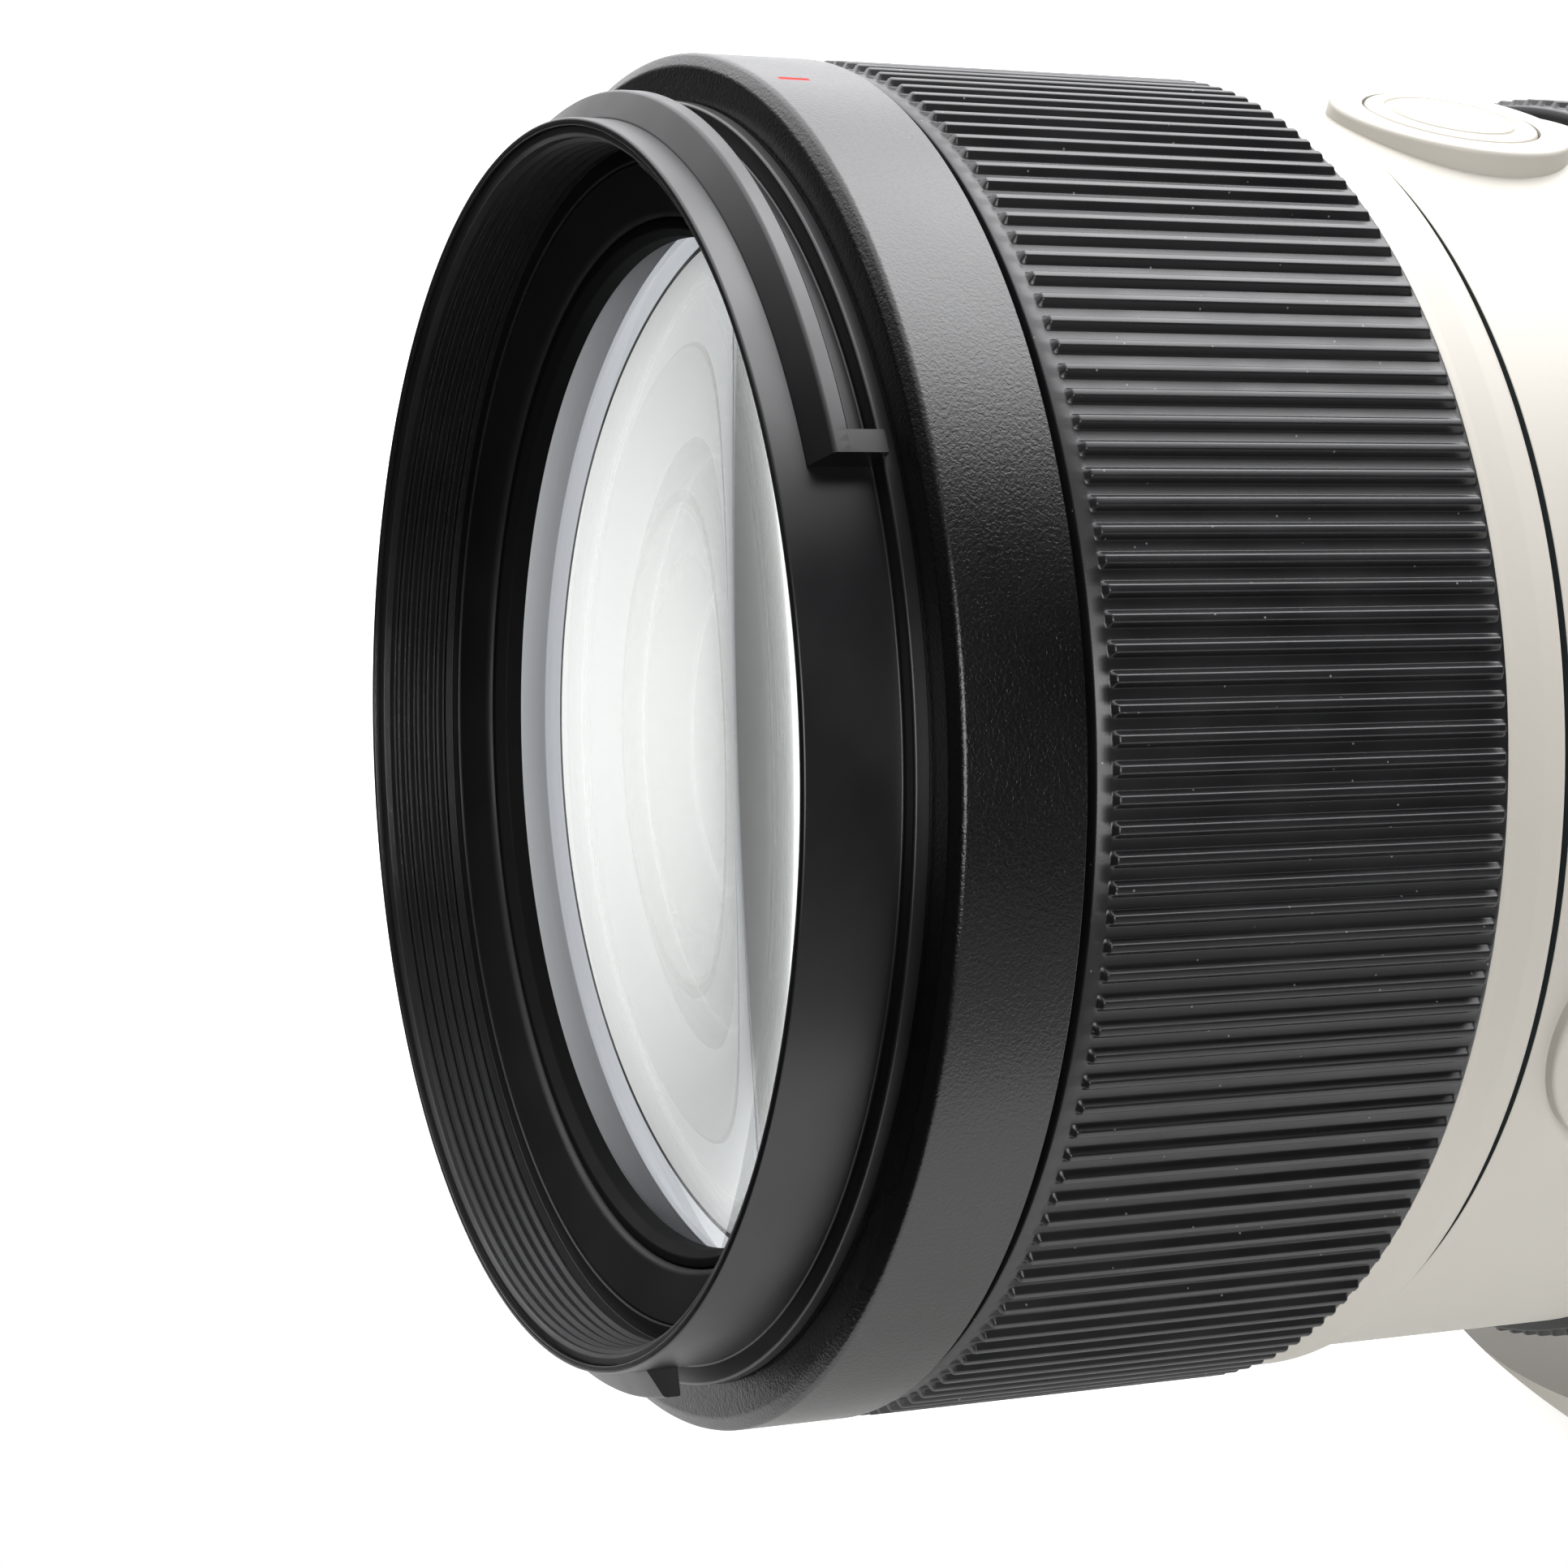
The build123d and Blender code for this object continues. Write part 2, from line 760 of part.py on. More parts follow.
def make_switch(number):
    """Slider at the front end of its pocket, with a ridge across it for the finger."""
    y = panel_middle_y - switch_travel / 2
    angle = switch_angle(number)
    top = panel_radius + switch_rise
    body = radial_block(switch_width, switch_length, switch_floor + fit_gap, panel_radius, y, angle)
    ridge = radial_block(switch_width, switch_length / 2, panel_radius - edge, top, y, angle)
    return body + ridge


# Tripod collar with its knob, and the foot that is screwed to it
collar_wall = 3.4
pad_width = 30.0
pad_reach = 52.0
knob_boss_radius = 8.0
knob_boss_reach = 50.0
knob_screw_radius = 3.0
knob_screw_start = 43.5
knob_radius = 9.5
knob_height = 11.0
knob_grip_count = 24
knob_grip_radius = 0.7
foot_top = 54.0
foot_base = 64.0
foot_width = 30.0
foot_front = 84.0
foot_nose_slope = 22.0
foot_tail = 2.0
foot_corner = 3.0
foot_nose_corner = 14.5
foot_screw_radius = 2.0
foot_screw_head = 3.6
foot_screw_head_height = 3.0
foot_screw_sink = 4.5
foot_screw_grip = 5.0
foot_screw_x = 9.0
foot_screw_y = 5.0
insert_radius = 5.2
insert_depth = 8.0
small_thread_radius = 2.6
large_thread_radius = 4.0
small_thread_back = 30.0
large_thread_back = 46.0

collar_inner = journal_radius + fit_gap
collar_outer = collar_inner + collar_wall
collar_middle_y = (collar_y + collar_end_y) / 2
knob_angle = 270.0
foot_y = rim_y + foot_front
foot_end_y = collar_end_y + foot_tail
thread_places = {
    "small_thread": (foot_y + small_thread_back, small_thread_radius),
    "large_thread": (foot_y + large_thread_back, large_thread_radius),
}


def foot_screw_places():
    return [
        (x, collar_middle_y + y)
        for x in (-foot_screw_x, foot_screw_x)
        for y in (-foot_screw_y, foot_screw_y)
    ]


def upright_rod(radius, x, y, low, high):
    """Rod along Z between two depths below the axis, given as positive numbers."""
    return Pos(x, y, -(low + high) / 2) * Cylinder(radius, high - low)


def make_collar():
    body = soft_tube(collar_outer, collar_inner, collar_y, collar_end_y, edge)
    bore = disc(collar_inner, collar_y - overrun, collar_end_y + overrun)
    pad = Pos(0, collar_middle_y, -(pad_reach + collar_inner) / 2) * Box(
        pad_width, collar_width, pad_reach - collar_inner + 2 * edge)
    pad = Pos(0, 0, edge) * pad
    boss = radial_rod(knob_boss_radius, collar_inner - edge, knob_boss_reach, collar_middle_y, knob_angle)
    body = body + (pad + boss - bore)
    body = body - radial_rod(knob_screw_radius + fit_gap, knob_screw_start - edge, knob_boss_reach + overrun,
                             collar_middle_y, knob_angle)
    for x, y in foot_screw_places():
        body = body - upright_rod(foot_screw_radius + fit_gap, x, y, pad_reach - foot_screw_grip - edge,
                                  pad_reach + overrun)
    return body


def make_knob():
    base = knob_boss_reach + seat_gap
    top = base + knob_height
    head = radial_rod(knob_radius, base, top - edge, collar_middle_y, knob_angle)
    head = head + radial_rod(knob_radius - edge, top - edge - fine_edge, top, collar_middle_y, knob_angle)
    for number in range(knob_grip_count):
        turn = 360 * number / knob_grip_count
        side, along = spot(knob_radius, turn)
        groove = Pos(side, along, (base + top) / 2) * Cylinder(knob_grip_radius, knob_height + 2 * overrun)
        head = head - around(Pos(0, collar_middle_y, 0) * groove, knob_angle)
    screw = radial_rod(knob_screw_radius, knob_screw_start, base + edge, collar_middle_y, knob_angle)
    return head + screw


def make_foot():
    """Plate that reaches forward under the barrel, with a sloped nose and a neck up to the collar."""
    neck_front = collar_y - foot_tail
    outline = [
        (foot_y, -foot_top), (foot_y + foot_nose_slope, -foot_base), (foot_end_y, -foot_base),
        (foot_end_y, -pad_reach), (neck_front, -pad_reach), (neck_front - foot_tail, -foot_top),
    ]
    side = Plane.YZ * make_face(Polyline(*outline, close=True))
    body = extrude(side, foot_width / 2, both=True)
    body = body - foot_corner_cuts()
    below = foot_base + overrun
    for x, y in foot_screw_places():
        body = body - upright_rod(foot_screw_radius + fit_gap, x, y, pad_reach - overrun, below)
        body = body - upright_rod(foot_screw_head + fit_gap, x, y, foot_base - foot_screw_sink, below)
    for y, _ in thread_places.values():
        body = body - upright_rod(insert_radius + fit_gap, 0, y, foot_top - overrun, below)
    return body


def foot_corner_cuts():
    """Cutter that rounds the upright corners of the foot, and its nose more than its tail."""
    length = foot_end_y - foot_y
    middle = (foot_end_y + foot_y) / 2
    full = Rectangle(foot_width + 2 * overrun, length + 2 * overrun)
    nose = Pos(0, length / 2) * RectangleRounded(foot_width, 2 * length, foot_nose_corner)
    kept = RectangleRounded(foot_width, length, foot_corner) & nose
    cutter = extrude(full - kept, foot_base - pad_reach + 2 * overrun)
    return Pos(0, middle, -foot_base - overrun) * cutter


def make_foot_screws():
    screws = []
    for x, y in foot_screw_places():
        head_top = foot_base - foot_screw_sink
        shank = upright_rod(foot_screw_radius, x, y, pad_reach - foot_screw_grip, head_top + edge)
        head = upright_rod(foot_screw_head, x, y, head_top, head_top + foot_screw_head_height)
        socket = Pos(x, y, -(head_top + foot_screw_head_height)) * extrude(
            RegularPolygon(foot_screw_radius, 6), foot_screw_head_height / 2)
        screws.append(shank + head - socket)
    return Compound(children=screws)


def make_foot_inserts():
    inserts = []
    for y, thread in thread_places.values():
        bush = upright_rod(insert_radius, 0, y, foot_base - insert_depth, foot_base)
        inserts.append(bush - upright_rod(thread, 0, y, foot_top - overrun, foot_base + overrun))
    return Compound(children=inserts)


# Rear cone, camera bayonet, seal, contacts and baffle
cone_straight = 4.6
cone_radius = 35.5
cone_length = 17.0
cone_wall = 2.5
rear_ring_radius = 34.0
rear_ring_width = 2.5
rear_ring_slope = 1.5
lip_thickness = 4.0
lip_inner = 24.0
lip_back = 6.5
spigot_radius = 30.0
flange_radius = 31.5
mount_bore = 20.6
bayonet_radius = 22.0
bayonet_length = 6.5
bayonet_lug_radius = 23.0
bayonet_lug_back = 0.5
bayonet_lug_width = 2.5
bayonet_lug_count = 3
bayonet_lug_turn = 52.0
bayonet_lug_start = 30.0
gasket_wall = 2.0
gasket_rise = 0.6
mount_screw_radius = 0.9
mount_screw_head = 1.8
mount_screw_head_height = 1.2
mount_screw_reach = 27.3
mount_screw_count = 4
mount_screw_start = 45.0
block_wall = 2.6
block_front = 1.5
block_half_turn = 44.0
contact_count = 10
contact_step = 8.2
contact_radius = 0.75
contact_rise = 0.3
baffle_width = 1.5
baffle_opening_width = 29.0
baffle_opening_height = 21.0
baffle_corner = 3.0

lip_y = -lip_back


def make_rear_cone():
    inner_cone = cone_radius - cone_wall
    slope_y = cone_y + cone_straight
    slope_end_y = slope_y + cone_length
    ring_y = mount_y - fine_edge
    step_y = ring_y - rear_ring_width
    body = turned([
        (cover_inner, cone_y), (shell_radius, cone_y), (shell_radius, slope_y),
        (cone_radius, slope_end_y), (cone_radius, step_y - rear_ring_slope),
        (rear_ring_radius, step_y), (rear_ring_radius, ring_y), (spigot_radius + fit_gap, ring_y),
        (spigot_radius + fit_gap, lip_y), (lip_inner, lip_y), (lip_inner, lip_y - lip_thickness),
        (inner_cone, lip_y - lip_thickness), (inner_cone, slope_end_y),
        (main_inner, main_end_y + seat_gap + edge), (main_inner, main_end_y + seat_gap),
        (cover_inner, main_end_y + seat_gap),
    ])
    for angle in mount_screw_angles():
        body = body - axial_rod(mount_screw_radius + fit_gap, lip_y - lip_thickness + edge, lip_y + overrun,
                                mount_screw_reach, angle)
    return body


def mount_screw_angles():
    return [mount_screw_start + 360 * number / mount_screw_count for number in range(mount_screw_count)]


def make_lens_mount():
    body = turned([
        (mount_bore, lip_y), (spigot_radius, lip_y), (spigot_radius, mount_y), (flange_radius, mount_y),
        (flange_radius, -fine_edge), (flange_radius - fine_edge, 0), (bayonet_radius, 0),
        (bayonet_radius, bayonet_length), (mount_bore, bayonet_length),
    ])
    lug_end_y = bayonet_length - bayonet_lug_back
    for number in range(bayonet_lug_count):
        start = bayonet_lug_start + 360 * number / bayonet_lug_count
        body = body + arc_block(bayonet_lug_radius, bayonet_radius - edge, lug_end_y - bayonet_lug_width,
                                lug_end_y, start, start + bayonet_lug_turn)
    for angle in mount_screw_angles():
        body = body - axial_rod(mount_screw_radius + fit_gap, lip_y - overrun, overrun,
                                mount_screw_reach, angle)
        body = body - axial_rod(mount_screw_head + fit_gap, -mount_screw_head_height - fine_edge, overrun,
                                mount_screw_reach, angle)
    return body


def make_mount_screws():
    screws = []
    for angle in mount_screw_angles():
        shank = axial_rod(mount_screw_radius, lip_y - lip_thickness + 2 * edge, -mount_screw_head_height,
                          mount_screw_reach, angle)
        head = axial_rod(mount_screw_head, -mount_screw_head_height - fit_gap, -fine_edge,
                         mount_screw_reach, angle)
        slot = radial_block(mount_screw_radius / 2, mount_screw_head_height,
                            mount_screw_reach - mount_screw_radius, mount_screw_reach + mount_screw_radius,
                            -fine_edge, angle)
        screws.append(shank + head - slot)
    return Compound(children=screws)


def make_gasket():
    outer = flange_radius + fit_gap + gasket_wall
    return turned([
        (flange_radius + fit_gap, mount_y), (outer, mount_y), (outer - edge, gasket_rise),
        (flange_radius + edge, gasket_rise), (flange_radius + fit_gap, 0),
    ])


def make_contact_block():
    outer = mount_bore - fit_gap
    return arc_block(outer, outer - block_wall, -block_front, bayonet_length - edge,
                     180 - block_half_turn, 180 + block_half_turn)


def make_contacts():
    reach = mount_bore - fit_gap - block_wall / 2
    face_y = bayonet_length - edge
    first = 180 - contact_step * (contact_count - 1) / 2
    return Compound(children=[
        axial_rod(contact_radius, face_y, face_y + contact_rise, reach, first + contact_step * number)
        for number in range(contact_count)
    ])


def make_baffle():
    y = lip_y + baffle_width
    opening = RectangleRounded(baffle_opening_width, baffle_opening_height, baffle_corner)
    return plate(Circle(mount_bore - fit_gap) - opening, y, baffle_width)


save(make_bayonet_ring(), "hood_bayonet_ring")
save(make_filter_ring(), "filter_ring")
save(make_trim_ring(), "front_trim_ring")
save(make_retainer(), "front_retainer")
save(lens_blank(front_glass_radius, glass_y, glass_end_y, front_glass_curve, 0), "front_element")
save(make_front_cell(), "front_cell")
save(make_index_ring(), "index_ring")
save(make_index_mark(), "hood_index_mark")
save(make_focus_sleeve(), "focus_ring_sleeve")
save(make_grip(focus_y, focus_end_y), "focus_ring_rubber")
save(make_end_ring(), "focus_end_ring")
save(make_main_barrel(), "main_barrel")
save(make_front_barrel(), "front_barrel")
for place, place_angle in button_angles.items():
    save(make_button(place_angle), f"focus_hold_button_{place}")
save(make_zoom_sleeve(), "zoom_ring_sleeve")
save(make_grip(zoom_y, scale_y), "zoom_ring_rubber")
save(make_cam_sleeve(), "cam_sleeve")
save(make_guide_tube(), "guide_tube")
save(make_zoom_carriage(), "zoom_carriage")
save(make_zoom_rollers(), "zoom_rollers")
save(make_zoom_lens(), "zoom_lens")
save(make_iris_housing(), "iris_housing")
for blade_number in range(blade_count):
    save(make_blade(blade_number), f"iris_blade_{blade_number + 1}")
save(make_drive_ring(), "iris_drive_ring")
save(make_stabiliser_frame(), "stabiliser_frame")
save(make_stabiliser_slider(), "stabiliser_slider")
save(make_stabiliser_cell(), "stabiliser_cell")
save(make_stabiliser_lens(), "stabiliser_lens")
save(make_focus_rods(), "focus_rods")
save(make_focus_carriage(), "focus_carriage")
save(make_focus_lens(), "focus_lens")
save(make_focus_motor(), "focus_motor")
save(make_rear_barrel(), "rear_barrel")
save(make_switch_panel(), "switch_panel")
for switch_number, switch_name in enumerate(switch_names):
    save(make_switch(switch_number), switch_name)
save(make_collar(), "tripod_collar")
save(make_knob(), "collar_knob")
save(make_foot(), "tripod_foot")
save(make_foot_screws(), "foot_screws")
save(make_foot_inserts(), "foot_inserts")
save(make_rear_cone(), "rear_cone")
save(make_rear_cell(), "rear_cell")
save(make_rear_lens(), "rear_element")
save(make_gasket(), "mount_gasket")
save(make_lens_mount(), "lens_mount")
save(make_mount_screws(), "mount_screws")
save(make_contact_block(), "contact_block")
save(make_contacts(), "contact_pins")
save(make_baffle(), "rear_baffle")
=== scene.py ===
import json
from math import asin, degrees, pi, radians, sqrt

import bmesh
import bpy
from mathutils import Matrix, Quaternion, Vector


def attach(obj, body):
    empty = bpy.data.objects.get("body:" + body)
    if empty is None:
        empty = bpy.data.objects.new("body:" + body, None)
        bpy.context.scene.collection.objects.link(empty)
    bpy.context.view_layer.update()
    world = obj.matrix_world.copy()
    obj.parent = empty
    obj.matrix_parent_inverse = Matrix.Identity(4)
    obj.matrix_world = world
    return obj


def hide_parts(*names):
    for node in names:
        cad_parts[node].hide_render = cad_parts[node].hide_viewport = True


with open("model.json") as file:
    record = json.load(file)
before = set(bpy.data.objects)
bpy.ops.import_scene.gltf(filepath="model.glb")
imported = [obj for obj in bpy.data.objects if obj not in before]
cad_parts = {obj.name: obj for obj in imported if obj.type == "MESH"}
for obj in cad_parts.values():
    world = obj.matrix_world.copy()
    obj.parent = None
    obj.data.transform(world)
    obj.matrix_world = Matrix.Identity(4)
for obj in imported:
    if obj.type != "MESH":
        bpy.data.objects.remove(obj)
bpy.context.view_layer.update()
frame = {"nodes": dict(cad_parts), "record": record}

MM = 0.001

# Stage: the lens stands on a white acrylic table under a tent that glows from above and from the far
# side. The tent is dark on the camera's side, so black paint stays black there, and a soft light beside
# the camera lifts the white barrel. The table glows a little, like a sheet lit from below.
CAMERA_PLACE = (0.1905, -0.2754, 0.0910)
CAMERA_LINE = (-0.8226, 0.3975, -0.4065)
CAMERA_ROLL = 9.12
FOCAL_LENGTH = 80.27
TABLE_TOP = -64.05
# The table ends short on the camera's side, where dark paint would mirror its white. The edge doesn't
# show, because the camera sees the room around it just as white.
TABLE_EDGES = {"right": 160.0, "left": -2500.0, "front": -212.0, "back": 2500.0}
TABLE_GLOW, TABLE_GLOW_FOR_CAMERA = 0.3, 0.35
# Directions of the tent and of its brightest panel, the cosines where each begins and is full, radiance
TENT = ((-0.60, 0.10, 0.79), 0.45, 0.80, 3.2)
TENT_PANEL = ((-0.25, 0.38, 0.89), 0.84, 0.97, 4.8)
ROOM_RADIANCE = 0.03
DIM_FLOOR_RADIANCE = {"front": 0.04, "back": 0.6}
FILL = {"place": (0.75, -0.40, 0.35), "size": 0.45, "power": 5.5}


def linear(colour):
    """Linear colour of an sRGB hex value."""
    parts = [int(colour[i:i + 2], 16) / 255 for i in (1, 3, 5)]
    return [c / 12.92 if c <= 0.04045 else ((c + 0.055) / 1.055) ** 2.4 for c in parts] + [1.0]


def add_node(tree, kind, settings=None, links=None):
    """Adds one node, sets its own values or its sockets, and joins earlier outputs to its inputs."""
    node = tree.nodes.new(kind)
    for key, value in (settings or {}).items():
        if isinstance(key, int) or key in node.inputs:
            node.inputs[key].default_value = value
        else:
            setattr(node, key, value)
    for key, output in (links or {}).items():
        tree.links.new(output, node.inputs[key])
    return node


def spread(tree, amount, low, high, start=0.3, end=0.7):
    """Value from low to high, as an amount goes from start to end."""
    limits = {"From Min": start, "From Max": end, "To Min": low, "To Max": high}
    return add_node(tree, "ShaderNodeMapRange", limits, {"Value": amount}).outputs["Result"]


camera = bpy.data.objects.new("camera", bpy.data.cameras.new("camera"))
camera.data.lens = FOCAL_LENGTH
camera.data.sensor_width = 36.0
camera.data.clip_start = 0.01
camera.location = CAMERA_PLACE
camera.rotation_mode = "QUATERNION"
level_view = Vector(CAMERA_LINE).to_track_quat("-Z", "Y")
camera.rotation_quaternion = level_view @ Quaternion((0, 0, 1), radians(CAMERA_ROLL))
bpy.context.scene.collection.objects.link(camera)
bpy.context.scene.camera = camera
bpy.context.scene.view_settings.view_transform = "Standard"

table_mesh = bpy.data.meshes.new("table_top")
bm = bmesh.new()
table_corners = []
for side, end in (("left", "front"), ("right", "front"), ("right", "back"), ("left", "back")):
    table_corners.append(bm.verts.new(Vector((TABLE_EDGES[side], TABLE_EDGES[end], TABLE_TOP)) * MM))
bm.faces.new(table_corners)
bm.to_mesh(table_mesh)
bm.free()
table_top = bpy.data.objects.new("table_top", table_mesh)
bpy.context.scene.collection.objects.link(table_top)
acrylic = bpy.data.materials.new("white_acrylic")
acrylic.use_nodes = True
tree = acrylic.node_tree
tree.nodes.clear()
sheet = add_node(tree, "ShaderNodeBsdfPrincipled", {
    "Base Color": linear("#dcdcda"), "Roughness": 0.5, "IOR": 1.49,
    "Emission Color": linear("#ffffff"), "Emission Strength": TABLE_GLOW})
lit_sheet = add_node(tree, "ShaderNodeEmission", {
    "Color": linear("#ffffff"), "Strength": TABLE_GLOW_FOR_CAMERA})
ray = add_node(tree, "ShaderNodeLightPath")
glow = add_node(tree, "ShaderNodeMixShader", None, {
    0: ray.outputs["Is Camera Ray"], 2: lit_sheet.outputs["Emission"]})
whole_sheet = add_node(tree, "ShaderNodeAddShader", None, {
    0: sheet.outputs["BSDF"], 1: glow.outputs["Shader"]})
add_node(tree, "ShaderNodeOutputMaterial", links={"Surface": whole_sheet.outputs["Shader"]})
table_mesh.materials.append(acrylic)

world = bpy.data.worlds.new("white_room")
bpy.context.scene.world = world
world.use_nodes = True
tree = world.node_tree
tree.nodes.clear()
outlook = add_node(tree, "ShaderNodeTexCoord").outputs["Generated"]
strengths = []
for middle, outer, inner, radiance in (TENT, TENT_PANEL):
    nearness = add_node(tree, "ShaderNodeVectorMath", {"operation": "DOT_PRODUCT", 1: middle}, {0: outlook})
    strengths.append(add_node(tree, "ShaderNodeMapRange", {
        "interpolation_type": "SMOOTHSTEP", "From Min": outer, "From Max": inner,
        "To Min": 0.0, "To Max": radiance}, {"Value": nearness.outputs["Value"]}).outputs["Result"])
tent = add_node(tree, "ShaderNodeMath", {"operation": "ADD"}, {0: strengths[0], 1: strengths[1]})
parts_of_outlook = add_node(tree, "ShaderNodeSeparateXYZ", None, {0: outlook})
floor_glow = spread(tree, parts_of_outlook.outputs["Y"], DIM_FLOOR_RADIANCE["front"],
                    DIM_FLOOR_RADIANCE["back"], -0.3, 0.3)
dim_floor = add_node(tree, "ShaderNodeMapRange", {
    "From Min": 0.02, "From Max": -0.06, "To Min": ROOM_RADIANCE}, {
    "Value": parts_of_outlook.outputs["Z"], "To Max": floor_glow})
whole = add_node(tree, "ShaderNodeMath", {"operation": "ADD"}, {
    0: tent.outputs["Value"], 1: dim_floor.outputs["Result"]})
lit = add_node(tree, "ShaderNodeBackground", {"Color": linear("#fdfdff")}, {
    "Strength": whole.outputs["Value"]})
seen = add_node(tree, "ShaderNodeBackground", {"Color": linear("#ffffff"), "Strength": 1.0})
ray = add_node(tree, "ShaderNodeLightPath")
both = add_node(tree, "ShaderNodeMixShader", None, {
    0: ray.outputs["Is Camera Ray"], 1: lit.outputs["Background"], 2: seen.outputs["Background"]})
add_node(tree, "ShaderNodeOutputWorld", links={"Surface": both.outputs["Shader"]})

light = bpy.data.lights.new("fill_light", "AREA")
light.size = FILL["size"]
light.energy = FILL["power"]
lamp = bpy.data.objects.new("fill_light", light)
lamp.location = FILL["place"]
lamp.rotation_mode = "QUATERNION"
lamp.rotation_quaternion = (Vector((0, -0.1, 0)) - Vector(FILL["place"])).to_track_quat("-Z", "Y")
bpy.context.scene.collection.objects.link(lamp)

# Hood bayonet ring: one injection moulding in black glass-filled polycarbonate, pressed over the front
# of the barrel. Two lugs hold the lens hood, and a stop wall at the end of each ends its turn.
# Smooth tool steel gives it a soft, even gloss with a hint of grain.
LUGS = ((0.0, 42.4), (180.0, 37.5))
STOP_TURN = 1.95


def turned_mesh(outline, steps=288, start=0.0, sweep=360.0):
    """Closed outline of (radius, y, rounding) in mm, turned about the optical axis from a start angle."""
    mesh = bmesh.new()
    corners = [mesh.verts.new((0, y * MM, radius * MM)) for radius, y, _ in outline]
    for this, following in zip(corners, corners[1:] + corners[:1]):
        mesh.edges.new((this, following))
    for corner, (_, _, rounding) in zip(corners, outline):
        if rounding:
            bmesh.ops.bevel(mesh, geom=[corner], offset=rounding * MM, offset_type="OFFSET", segments=3,
                            profile=0.5, affect="VERTICES", clamp_overlap=True, material=-1)
    whole = sweep >= 360.0
    if not whole:
        bmesh.ops.edgeloop_fill(mesh, edges=mesh.edges[:])
        to_start = Matrix.Rotation(radians(start), 3, "Y")
        bmesh.ops.rotate(mesh, verts=mesh.verts, cent=(0, 0, 0), matrix=to_start)
    bmesh.ops.spin(mesh, geom=mesh.faces[:] + mesh.edges[:] + mesh.verts[:], cent=(0, 0, 0),
                   axis=(0, 1, 0), dvec=(0, 0, 0), angle=radians(sweep), steps=steps,
                   use_merge=whole, use_duplicate=False)
    bmesh.ops.remove_doubles(mesh, verts=mesh.verts, dist=0.0001 * MM)
    bmesh.ops.recalc_face_normals(mesh, faces=mesh.faces)
    return mesh


def placed(name, mesh):
    """Object at the origin that holds a finished bmesh."""
    data = bpy.data.meshes.new(name)
    mesh.to_mesh(data)
    mesh.free()
    piece = bpy.data.objects.new(name, data)
    bpy.context.scene.collection.objects.link(piece)
    return piece


def combined(piece, tool, operation):
    """Joins (UNION) or cuts (DIFFERENCE) a piece with another shape, which is used up."""
    cut = piece.modifiers.new("cut", "BOOLEAN")
    cut.operation = operation
    cut.solver = "EXACT"
    cut.object = tool
    bpy.context.view_layer.update()
    final = piece.evaluated_get(bpy.context.evaluated_depsgraph_get())
    result = bpy.data.meshes.new_from_object(final)
    piece.modifiers.clear()
    piece.data = result
    bpy.data.objects.remove(tool)
    return piece


def smoothed(piece, angle=32.0, edge=0.0, segments=2):
    """Breaks the sharp edges by a width in mm, and shades the piece smooth between edges that stay."""
    if edge:
        softening = piece.modifiers.new("edges", "BEVEL")
        softening.width = edge * MM
        softening.segments = segments
        softening.limit_method = "ANGLE"
        softening.angle_limit = radians(angle)
        softening.use_clamp_overlap = True
    piece.data.shade_smooth()
    if not edge:
        piece.data.set_sharp_from_angle(angle=radians(angle))
    weighting = piece.modifiers.new("shading", "WEIGHTED_NORMAL")
    weighting.keep_sharp = not edge
    return piece


body_of = {node: body for body, nodes in frame["record"]["behaviour"]["bodies"].items() for node in nodes}


def stands_for(piece, *nodes):
    """The piece stands in for these CAD nodes: it rides with the first one's body, and they are hidden."""
    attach(piece, body_of[nodes[0]])
    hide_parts(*nodes)


def start_surface(name):
    """New empty material, its node tree and the Object coordinates that its pattern is laid on."""
    surface = bpy.data.materials.new(name)
    surface.use_nodes = True
    surface.node_tree.nodes.clear()
    place = add_node(surface.node_tree, "ShaderNodeTexCoord").outputs["Object"]
    return surface, surface.node_tree, place


def noise(tree, place, size, detail, settings=None):
    """Soft random value round one half, in patches of a size in mm."""
    values = {"Scale": 1 / (size * MM), "Detail": detail} | (settings or {})
    return add_node(tree, "ShaderNodeTexNoise", values, {"Vector": place}).outputs["Fac"]


def blend(tree, dark, light, amount):
    """Colour between two sRGB hex values."""
    ends = {"data_type": "RGBA", 6: linear(dark), 7: linear(light)}
    return add_node(tree, "ShaderNodeMix", ends, {0: amount}).outputs[2]


def relief(tree, height, depth):
    """Fine relief of a depth in mm, from a value that stands for height."""
    bump = add_node(tree, "ShaderNodeBump", {"Strength": 1.0, "Distance": depth * MM}, {"Height": height})
    return bump.outputs["Normal"]


def end_surface(tree, settings, links):
    """Closes a material with its Principled shader."""
    shader = add_node(tree, "ShaderNodeBsdfPrincipled", settings, links)
    add_node(tree, "ShaderNodeOutputMaterial", links={"Surface": shader.outputs["BSDF"]})


def moulded_surface(name, dark, light, grain, depth, gloss, settings):
    """Moulded or sprayed finish: colour and gloss in 9 mm clouds, and a grain of a size and depth in mm."""
    surface, tree, place = start_surface(name)
    clouds = noise(tree, place, 9, 3.0)
    fine = noise(tree, place, grain, 2.0, {"Roughness": 0.6})
    end_surface(tree, settings, {
        "Base Color": blend(tree, dark, light, clouds), "Roughness": spread(tree, clouds, *gloss),
        "Normal": relief(tree, fine, depth)})
    return surface


